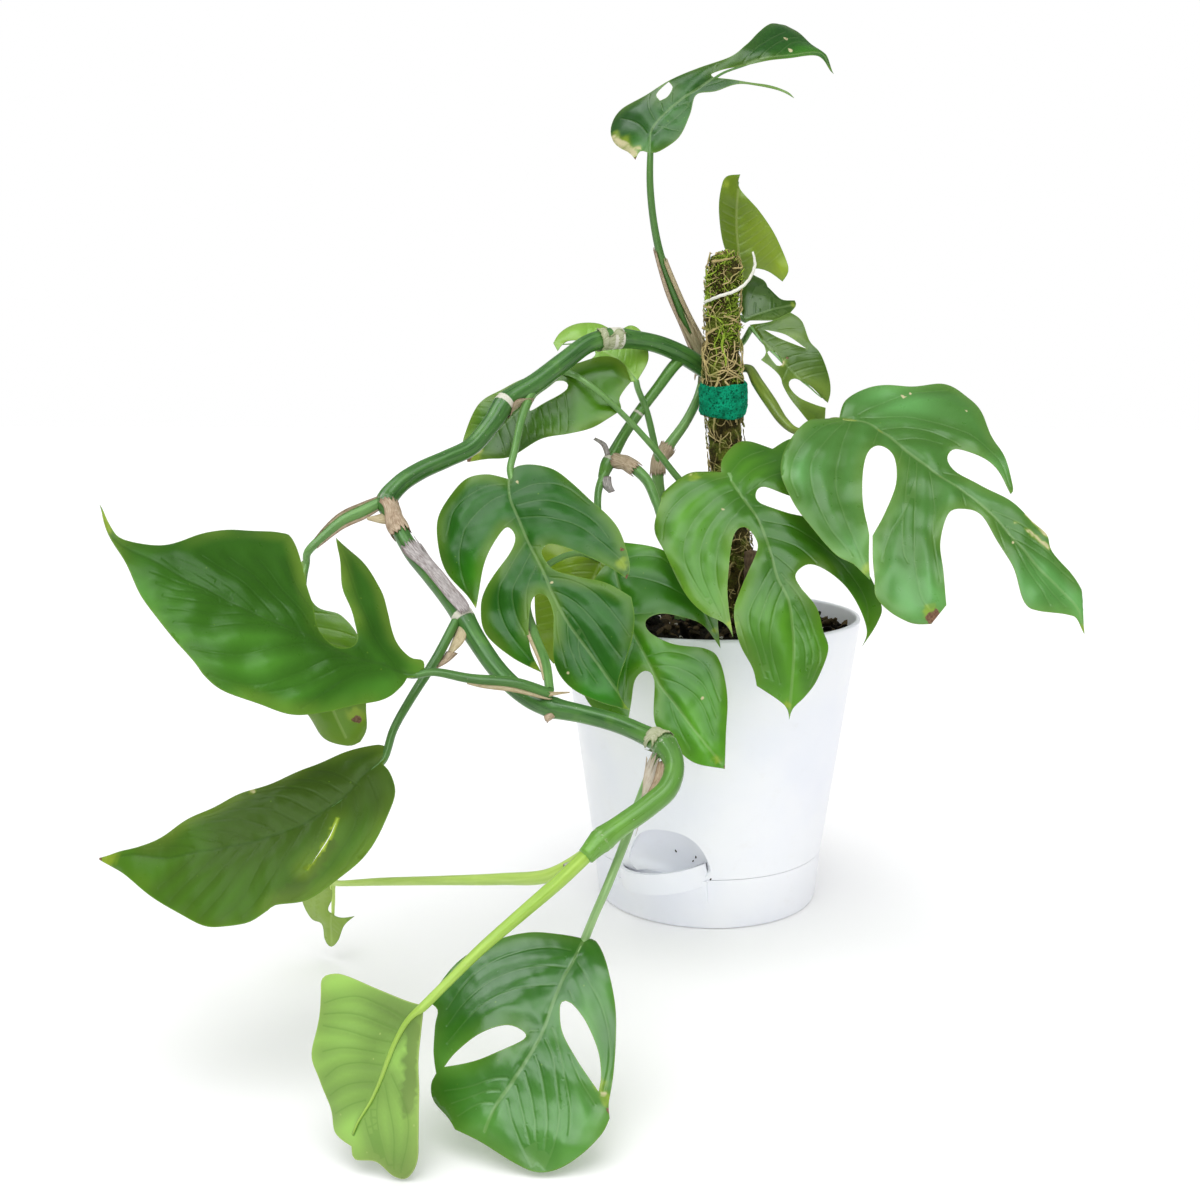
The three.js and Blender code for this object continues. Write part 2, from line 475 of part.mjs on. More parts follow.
// A blade of even thickness, with the same triangles on both faces
function blade(leaf) {
  const frame = leafFrame(leaf);
  const outline = smoothOutline(leaf.outline, EDGE_STEP);
  if (THREE.ShapeUtils.isClockWise(outline)) outline.reverse();
  const holes = (leaf.holes ?? []).map((hole) => smoothOutline(hole, EDGE_STEP));
  holes.forEach((hole) => {
    if (!THREE.ShapeUtils.isClockWise(hole)) hole.reverse();
  });
  const { points, triangles } = sheetTriangles(outline, holes, INNER_EDGE);
  const position = [];
  for (const lift of [BLADE / 2, -BLADE / 2]) {
    points.forEach((p) => position.push(...bladePoint(leaf, frame, p.x, p.y, lift).toArray()));
  }
  const index = [];
  const under = points.length;
  for (const [a, b, c] of triangles) {
    index.push(a, b, c, under + a, under + c, under + b);
  }
  let start = 0;
  for (const loop of [outline, ...holes]) {
    loop.forEach((_, i) => {
      const a = start + i;
      const b = start + ((i + 1) % loop.length);
      index.push(a, under + b, b, a, under + a, under + b);
    });
    start += loop.length;
  }
  const geometry = new THREE.BufferGeometry();
  geometry.setAttribute('position', new THREE.Float32BufferAttribute(position, 3));
  geometry.setIndex(index);
  return solidOf(geometry);
}

// A leaf is its blade joined to its petiole, which runs on into the midrib
function leafSolid(leaf) {
  const frame = leafFrame(leaf);
  const midrib = (s, radius) => {
    const u = s / frame.length;
    const p = bladePoint(leaf, frame, s, leaf.bow * 4 * u * (1 - u), -0.5);
    return [p.x, p.y, p.z, radius];
  };
  const path = [...leaf.petiole, midrib(1.5, 1.5), midrib(9, 1.1), midrib(20, 0.6)];
  return blade(leaf).add(stem(path));
}

// The stems of the plant: points are [x, y, z, radius]

const VINE = [[6, 22, 62, 4], [5.5, 22, 139, 4.4], [5, 21.5, 200, 4.6], [5.3, 21.3, 236, 4.6],
  [4.8, 21.3, 253, 4.5], [1.5, 19.9, 262.5, 4.4], [-6.5, 14, 268, 4.6], [-15.5, 7, 273.5, 4.6],
  [-26.5, 0, 278, 4.4], [-36.5, -6, 280, 4.4], [-47.5, -14, 280.5, 4.9], [-58.5, -22, 278, 4.4],
  [-70, -32, 269, 4.5],
  [-81.5, -42, 259.5, 4.5], [-94.5, -52, 250, 4.8], [-100, -60, 240.5, 4.3], [-108, -68, 230.5, 4],
  [-117.5, -76, 225.5, 3.9], [-128, -84, 220.5, 4], [-135.5, -91, 215, 4.1],
  [-140, -97, 208, 4.3], [-136, -102, 202, 3.5], [-130.5, -108, 194, 3.5], [-125, -112, 187, 3.8],
  [-117.5, -117, 180, 4], [-109.5, -122, 172, 4.1], [-101.5, -128, 163.5, 4.3],
  [-94.5, -135, 155, 4], [-85.5, -142, 145, 3.8], [-77.5, -147, 138.5, 3.8], [-69, -152, 134, 3.7],
  [-61, -156, 132.5, 4], [-48, -162, 131.5, 3.6], [-34.5, -169, 130, 3.6], [-24, -177, 128, 3.7],
  [-16, -184, 126, 4.3], [-12, -191, 120.5, 3.7], [-14, -198, 114, 3.9], [-21, -203, 108.5, 3.9],
  [-30, -208, 103, 3.9], [-37, -212, 98.5, 4.1], [-42, -216, 94, 3.2]];
const SIDE_SHOOT = [[-14, 10, 272, 2.6], [-18.5, 6, 268.5, 2.9], [-27.5, 3, 256.5, 2.7],
  [-36.5, 0, 244.5, 2.7], [-44, -3, 233, 2.7], [-48.5, -6, 224.5, 3.2], [-51, -8, 220, 3.5],
  [-53.5, -10, 213, 2.4]];
const BACK_SHOOT = [[5.5, 22, 246, 3], [8.5, 25, 262, 2.8], [11, 24.5, 280, 2.6], [10.5, 22.5, 298, 2]];
const MIDDLE_STEM = [[-14, 14, 80, 3], [-15, 12, 139, 3], [-19.5, 6, 178, 2.6], [-25.5, 4, 204, 2.7],
  [-26.5, 5, 220, 3.2], [-21, 8, 229, 2.8], [-14.5, 13, 238, 2.5], [-10, 19, 246, 2.4],
  [-7, 25, 253, 2.4], [-5, 29, 260, 2.4]];

// Dry sheaths that stay on the stems where leaves have grown out
const SHEATHS = [
  [[-128, -109, 192.5, 3], [-120, -115, 185, 4.2], [-111.5, -121, 176, 4], [-104.5, -127, 169, 2.1]],
  [[-101, -130, 162.5, 2.9], [-102.5, -136, 155, 3.7], [-105.5, -141, 149.5, 2.8],
    [-107.5, -145, 145.5, 1]],
  [[-17, -187, 122.5, 1.6], [-19, -191, 115.5, 2.2], [-24, -196, 109.5, 2.2], [-28.5, -199, 105.5, 1.1]],
  [[-139.5, -99, 207, 3], [-145.5, -100, 201.5, 3], [-150, -101, 200, 1.3]],
  [[-61, -156, 133, 2.4], [-64.5, -160, 131, 1.8], [-62, -160, 128.5, 0.9]],
  [[-93.5, -50, 252.5, 3.7], [-99, -51, 253, 3.2], [-100.5, -53, 248, 1.8]],
  [[-49.5, -8, 221, 3.4], [-53, -9, 226, 2], [-58, -8, 230.5, 1]],
  [[10, 23, 293, 1.8], [4.5, 20.5, 314, 2.2], [3.5, 19, 325, 2.4], [4.5, 19, 332.5, 1.2]],
];

// The moss pole's axis, and its uneven radius
const POLE = [[13.5, 8, 50, 9.6], [14.4, 8, 140, 9.6], [12.6, 8, 171, 9.4], [7.7, 6, 221, 9.4],
  [5.4, 5, 251, 9.4], [4.7, 4.5, 270, 9.7], [4.3, 4, 290, 8.8], [4.8, 3, 313, 8.7], [5, 3, 320, 7.2]];

function plantStems(extra) {
  const vine = stem(VINE, VINE_SIDES, STEM_STEP, extra);
  const shoots = [SIDE_SHOOT, BACK_SHOOT].map((points) => stem(points, SHOOT_SIDES, STEM_STEP, extra));
  const sheaths = SHEATHS.map((points) => stem(points, PETIOLE_SIDES, SHEATH_STEP, extra));
  return joined([vine, ...shoots, ...sheaths]);
}

function middleStem(extra) {
  return stem(MIDDLE_STEM, SHOOT_SIDES, STEM_STEP, extra);
}

// The pole's surface is uneven, like packed moss
function mossPole(extra) {
  const sides = POLE_SIDES;
  const geometry = stemGeometry(POLE, sides, STEM_STEP, extra);
  const place = geometry.attributes.position;
  const axis = new THREE.CatmullRomCurve3(POLE.map(v3), false, 'centripetal');
  const rings = place.count / sides - 1;
  for (let i = 0; i < place.count; i++) {
    const ring = Math.floor(i / sides);
    const centre = axis.getPointAt(ring / rings);
    const dent = extra > 0 ? 0 : MOSS_DENT * (1 + Math.sin(2.3 * i + 0.9 * ring));
    const out = new THREE.Vector3().fromBufferAttribute(place, i).sub(centre).setZ(0);
    const shift = out.normalize().multiplyScalar(-dent);
    place.setXYZ(i, place.getX(i) + shift.x, place.getY(i) + shift.y, place.getZ(i));
  }
  return solidOf(geometry);
}

// A white aerial root wound once round the front of the pole
const AERIAL_ROOT = [[-4.3, -2.2, 298, 1], [2.5, -6.5, 300.5, 1], [10, -5.3, 303, 1.1],
  [16, -4, 307.5, 1], [19.5, -3.5, 315, 1], [18.5, -3, 321.5, 0.7]];

// What is left of an older stem, cut off above the soil
const OLD_STEM = [[21.5, -7, 120, 4], [21.5, -7, 139, 4.2], [21, -7, 161, 4], [20, -7.5, 177, 3.4]];

// The tie is a band round the pole and the two stems behind it: the rounds that it holds
const TIE_ROUNDS = [{ x: 5.4, y: 5, r: 9.6 }, { x: 4.5, y: 21.5, r: 5.2 }, { x: 8, y: 25, r: 3.2 }];

function poleTie() {
  const hull = (offset) => {
    const outline = [];
    for (let i = 0; i < TIE_SIDES; i++) {
      const a = (2 * Math.PI * i) / TIE_SIDES;
      const d = new THREE.Vector2(Math.cos(a), Math.sin(a));
      const reach = TIE_ROUNDS.map((c) => c.x * d.x + c.y * d.y + c.r);
      const c = TIE_ROUNDS[reach.indexOf(Math.max(...reach))];
      outline.push(new THREE.Vector2(c.x, c.y).addScaledVector(d, c.r + offset));
    }
    return outline;
  };
  const shape = new THREE.Shape(hull(TIE_CLEARANCE + TIE_THICKNESS));
  shape.holes.push(new THREE.Path(hull(TIE_CLEARANCE)));
  const band = new THREE.ExtrudeGeometry(shape, { depth: TIE_HEIGHT, bevelEnabled: false });
  band.translate(0, 0, TIE_LEVEL - TIE_HEIGHT / 2);
  band.applyMatrix4(new THREE.Matrix4().makeShear(0, TIE_SLOPE, 0, 0, 0, 0));
  return solidOf(band);
}

// The pot

// The planter's outer radius at a height
function outerRadius(height) {
  return THREE.MathUtils.mapLinear(height, JOINT_HEIGHT, POT_HEIGHT, JOINT_RADIUS, RIM_RADIUS);
}

// The planter's outer cone, made larger or smaller, between two heights
function cone(extra, bottom, top) {
  const low = outerRadius(bottom) + extra;
  const high = outerRadius(top) + extra;
  return turned([[0, bottom], [low, bottom], [high, top], [0, top]]);
}

// A round post where the filling lip is; the lip sits a little askew, higher at its right end
function lipPost(radius, bottom, top) {
  const post = new THREE.CylinderGeometry(radius, radius, top - bottom, LIP_SIDES);
  post.rotateX(Math.PI / 2);
  post.translate(0, 0, (top + bottom) / 2 - JOINT_HEIGHT);
  post.rotateY(-LIP_TILT);
  post.translate(-Math.sin(LIP_ANGLE) * LIP_CENTRE, -Math.cos(LIP_ANGLE) * LIP_CENTRE, JOINT_HEIGHT);
  return solidOf(post);
}

// A flat outline [sideways, up], run outwards from near the pot's axis at an angle to -Y
function runOutwards(shape, angle, inner = 20) {
  const bar = new THREE.ExtrudeGeometry(shape, { depth: 90 - inner, bevelEnabled: false, curveSegments: 5 });
  bar.translate(0, 0, inner);
  bar.rotateX(Math.PI / 2);
  bar.rotateZ(-angle);
  return solidOf(bar);
}

// The arch of the niche above the lip
function nicheArch(grow, bottom) {
  const half = NICHE_WIDTH / 2 + grow;
  const crown = JOINT_HEIGHT + NICHE_HEIGHT + grow;
  const spring = JOINT_HEIGHT + NICHE_HEIGHT * 0.2;
  const shape = new THREE.Shape();
  shape.moveTo(-half, bottom);
  shape.lineTo(half, bottom);
  shape.lineTo(half, spring);
  shape.bezierCurveTo(half * 0.85, crown - 4, half * 0.5, crown, 0, crown);
  shape.bezierCurveTo(-half * 0.5, crown, -half * 0.85, crown - 4, -half, spring);
  return runOutwards(shape, NICHE_ANGLE);
}

function potReservoir() {
  const top = JOINT_HEIGHT - 0.3;
  const topRadius = JOINT_RADIUS - 0.1;
  const outer = turned([[0, 0], [FOOT_RADIUS - 1.8, 0], [FOOT_RADIUS - 0.5, 0.6],
    [FOOT_RADIUS + 0.1, 2.2], [topRadius, top], [0, top]]);
  const cavity = turned([[0, BASE_THICKNESS], [FOOT_RADIUS - WALL - 2, BASE_THICKNESS],
    [FOOT_RADIUS - WALL, BASE_THICKNESS + 2], [topRadius - WALL, top], [topRadius - WALL, top + 8],
    [0, top + 8]]);
  const planterSpace = cone(GAP, JOINT_HEIGHT - GAP, LIP_TOP + 5)
    .subtract(nicheArch(-GAP, JOINT_HEIGHT - 5).subtract(cone(-WALL, 0, POT_HEIGHT)));
  const lip = lipPost(LIP_RADIUS, LIP_BOTTOM, LIP_TOP).subtract(planterSpace);
  const pocket = lipPost(LIP_RADIUS - LIP_WALL, LIP_BOTTOM + LIP_WALL, LIP_TOP + 8);
  const tabShape = new THREE.Shape(TAB_OUTLINE.map((p) => new THREE.Vector2(...p)));
  const tab = runOutwards(tabShape, LIP_ANGLE).intersect(cone(TAB_PROUD, 0, JOINT_HEIGHT));
  return outer.add(lip).add(tab).subtract(cavity).subtract(pocket);
}

function planterPot() {
  const rim = POT_HEIGHT;
  const cup = turned([
    [0, WICK_BOTTOM], [WICK_RADIUS, WICK_BOTTOM], [WICK_RADIUS + 2.3, FLOOR_HEIGHT - 2.6],
    [JOINT_RADIUS - 5, FLOOR_HEIGHT - 2.6], [JOINT_RADIUS - 4, JOINT_HEIGHT],
    [JOINT_RADIUS, JOINT_HEIGHT], [RIM_RADIUS, rim - 1.3], [RIM_RADIUS - 0.4, rim - 0.3],
    [RIM_RADIUS - 1.25, rim], [RIM_RADIUS - 2.1, rim - 0.3], [RIM_RADIUS - WALL, rim - 1.3],
    [JOINT_RADIUS - WALL + 1, FLOOR_HEIGHT + 3], [JOINT_RADIUS - 6, FLOOR_HEIGHT],
    [WICK_RADIUS, FLOOR_HEIGHT], [WICK_RADIUS - 2.3, WICK_BOTTOM + 2.5], [0, WICK_BOTTOM + 2.5],
  ]);
  const surround = nicheArch(WALL, JOINT_HEIGHT).intersect(cone(-0.5, JOINT_HEIGHT, POT_HEIGHT - 5))
    .subtract(cone(-NICHE_DEPTH - WALL, 0, POT_HEIGHT));
  const niche = nicheArch(0, JOINT_HEIGHT - 4).subtract(cone(-NICHE_DEPTH, 0, POT_HEIGHT));
  const slots = [];
  for (let i = 0; i < SLOT_COUNT; i++) {
    const slot = new THREE.BoxGeometry(SLOT_LENGTH, SLOT_WIDTH, SLOT_HEIGHT);
    slot.rotateZ((Math.PI * i) / SLOT_COUNT);
    slot.translate(0, 0, SLOT_LEVEL);
    slots.push(solidOf(slot));
  }
  return cup.add(surround).subtract(niche).subtract(joined(slots));
}

// The soil fills the planter, with a loose, lumpy top that is lower at the wall
function soilBody(stems) {
  const edge = SOIL_HEIGHT - SOIL_EDGE_DROP;
  const wallAt = (z) => THREE.MathUtils.mapLinear(
    z, FLOOR_HEIGHT + 3, POT_HEIGHT - 1.3, JOINT_RADIUS - WALL + 1, RIM_RADIUS - WALL,
  );
  const profile = [
    [0, WICK_BOTTOM + 2.9], [WICK_RADIUS - 3, WICK_BOTTOM + 2.9], [WICK_RADIUS - 0.8, FLOOR_HEIGHT + 0.4],
    [JOINT_RADIUS - 6.6, FLOOR_HEIGHT + 0.4], [JOINT_RADIUS - WALL - 0.2, FLOOR_HEIGHT + 3.3],
    [wallAt(edge) - 0.5, edge], [52, SOIL_HEIGHT - 0.5], [30, SOIL_HEIGHT],
    [0, SOIL_HEIGHT + 0.5],
  ].map(([radius, height]) => new THREE.Vector2(radius, height));
  const geometry = new THREE.LatheGeometry(profile, SOIL_SIDES);
  geometry.rotateX(Math.PI / 2);
  const place = geometry.attributes.position;
  for (let i = 0; i < place.count; i++) {
    const x = Math.round(place.getX(i) * 100) / 100;
    const y = Math.round(place.getY(i) * 100) / 100;
    const z = place.getZ(i);
    const onTop = z > edge - 0.5 && Math.hypot(x, y) > 1;
    const loose = SOIL_LUMP * Math.sin(x * 0.31) * Math.cos(y * 0.27);
    place.setXYZ(i, x, y, onTop ? z + loose : z);
  }
  const body = solidOf(geometry);
  const clear = WALL + SOIL_GAP;
  const niche = nicheArch(clear, FLOOR_HEIGHT - 6).subtract(cone(-NICHE_DEPTH - clear, 0, POT_HEIGHT));
  return stems.reduce((left, piece) => left.subtract(piece), body.subtract(niche));
}

// Materials

function finish(colour, roughness, metalness = 0) {
  return new THREE.MeshStandardMaterial({ color: colour, roughness, metalness });
}

const FINISHES = {
  pot: finish(0xe8eaee, 0.35),
  soil: finish(0x2e2019, 0.95),
  moss: finish(0x4c4a22, 0.95),
  tie: finish(0x1d8f76, 0.85),
  root: finish(0xd9d2bc, 0.6),
  bark: finish(0x8a6a4c, 0.9),
  vine: finish(0x35602f, 0.45),
  leaf: finish(0x3f7a33, 0.4),
  newLeaf: finish(0x8db33a, 0.42),
};

const NEW_LEAVES = ['leaf_new_front', 'leaf_new_small', 'leaf_new_top_left', 'leaf_hanging_left',
  'leaf_shaded'];

// Assembly

const plant = new THREE.Group();

function place(name, solid, material) {
  const mesh = new THREE.Mesh(geometryOf(solid), material);
  mesh.name = name;
  plant.add(mesh);
}

const vineSpace = plantStems(GAP);
const middleSpace = middleStem(GAP);
const poleSpace = mossPole(GAP);
const oldStemSpace = stem(OLD_STEM, 8, 10, GAP);

place('pot_reservoir', potReservoir(), FINISHES.pot);
place('planter', planterPot(), FINISHES.pot);
place('soil', soilBody([vineSpace, middleSpace, poleSpace, oldStemSpace]), FINISHES.soil);
place('moss_pole', mossPole(0), FINISHES.moss);
place('pole_tie', poleTie(), FINISHES.tie);
place('aerial_root', stem(AERIAL_ROOT, 6, 4), FINISHES.root);
place('old_stem', stem(OLD_STEM, 8, 10), FINISHES.bark);
place('vine', plantStems(0), FINISHES.vine);
place('middle_stem', middleStem(0).subtract(vineSpace), FINISHES.vine);

for (const [name, leaf] of Object.entries(LEAVES)) {
  const solid = largestPiece(leafSolid(leaf).subtract(vineSpace).subtract(middleSpace));
  place(name, solid, NEW_LEAVES.includes(name) ? FINISHES.newLeaf : FINISHES.leaf);
}

export default plant;
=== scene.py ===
# A potted mini monstera: leaves, climbing stem, moss pole, soil and self-watering pot.
# Shapes are worked out in millimetres, in the part's own frame, and made in metres.

import math

import bpy
import numpy as np
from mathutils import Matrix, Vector
from mathutils.geometry import delaunay_2d_cdt


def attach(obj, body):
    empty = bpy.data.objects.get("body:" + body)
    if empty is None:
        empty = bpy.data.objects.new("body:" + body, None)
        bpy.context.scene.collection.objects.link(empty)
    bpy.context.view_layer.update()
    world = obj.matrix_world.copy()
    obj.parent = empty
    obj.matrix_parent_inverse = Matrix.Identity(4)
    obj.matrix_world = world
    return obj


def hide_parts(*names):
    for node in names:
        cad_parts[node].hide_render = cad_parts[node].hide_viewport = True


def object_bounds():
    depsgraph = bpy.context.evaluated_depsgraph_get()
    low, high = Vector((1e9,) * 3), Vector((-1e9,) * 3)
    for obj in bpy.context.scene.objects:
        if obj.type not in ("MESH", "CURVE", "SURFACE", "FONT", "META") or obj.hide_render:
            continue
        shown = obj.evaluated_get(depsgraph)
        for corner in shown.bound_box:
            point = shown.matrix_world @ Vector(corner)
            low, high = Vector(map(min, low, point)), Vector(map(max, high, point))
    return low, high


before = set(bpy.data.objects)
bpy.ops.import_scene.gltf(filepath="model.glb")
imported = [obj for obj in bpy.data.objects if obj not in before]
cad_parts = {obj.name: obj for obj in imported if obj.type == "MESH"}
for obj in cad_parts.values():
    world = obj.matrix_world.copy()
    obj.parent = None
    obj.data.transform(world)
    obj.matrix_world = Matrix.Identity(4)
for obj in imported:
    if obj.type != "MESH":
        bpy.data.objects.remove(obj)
cad_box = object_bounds()

MM = 0.001
SHARP = True

# Leaves, as in the solids: each blade is an outline in its own plane, (along, across) from the
# leaf's base towards its tip. veins starts with the midrib.

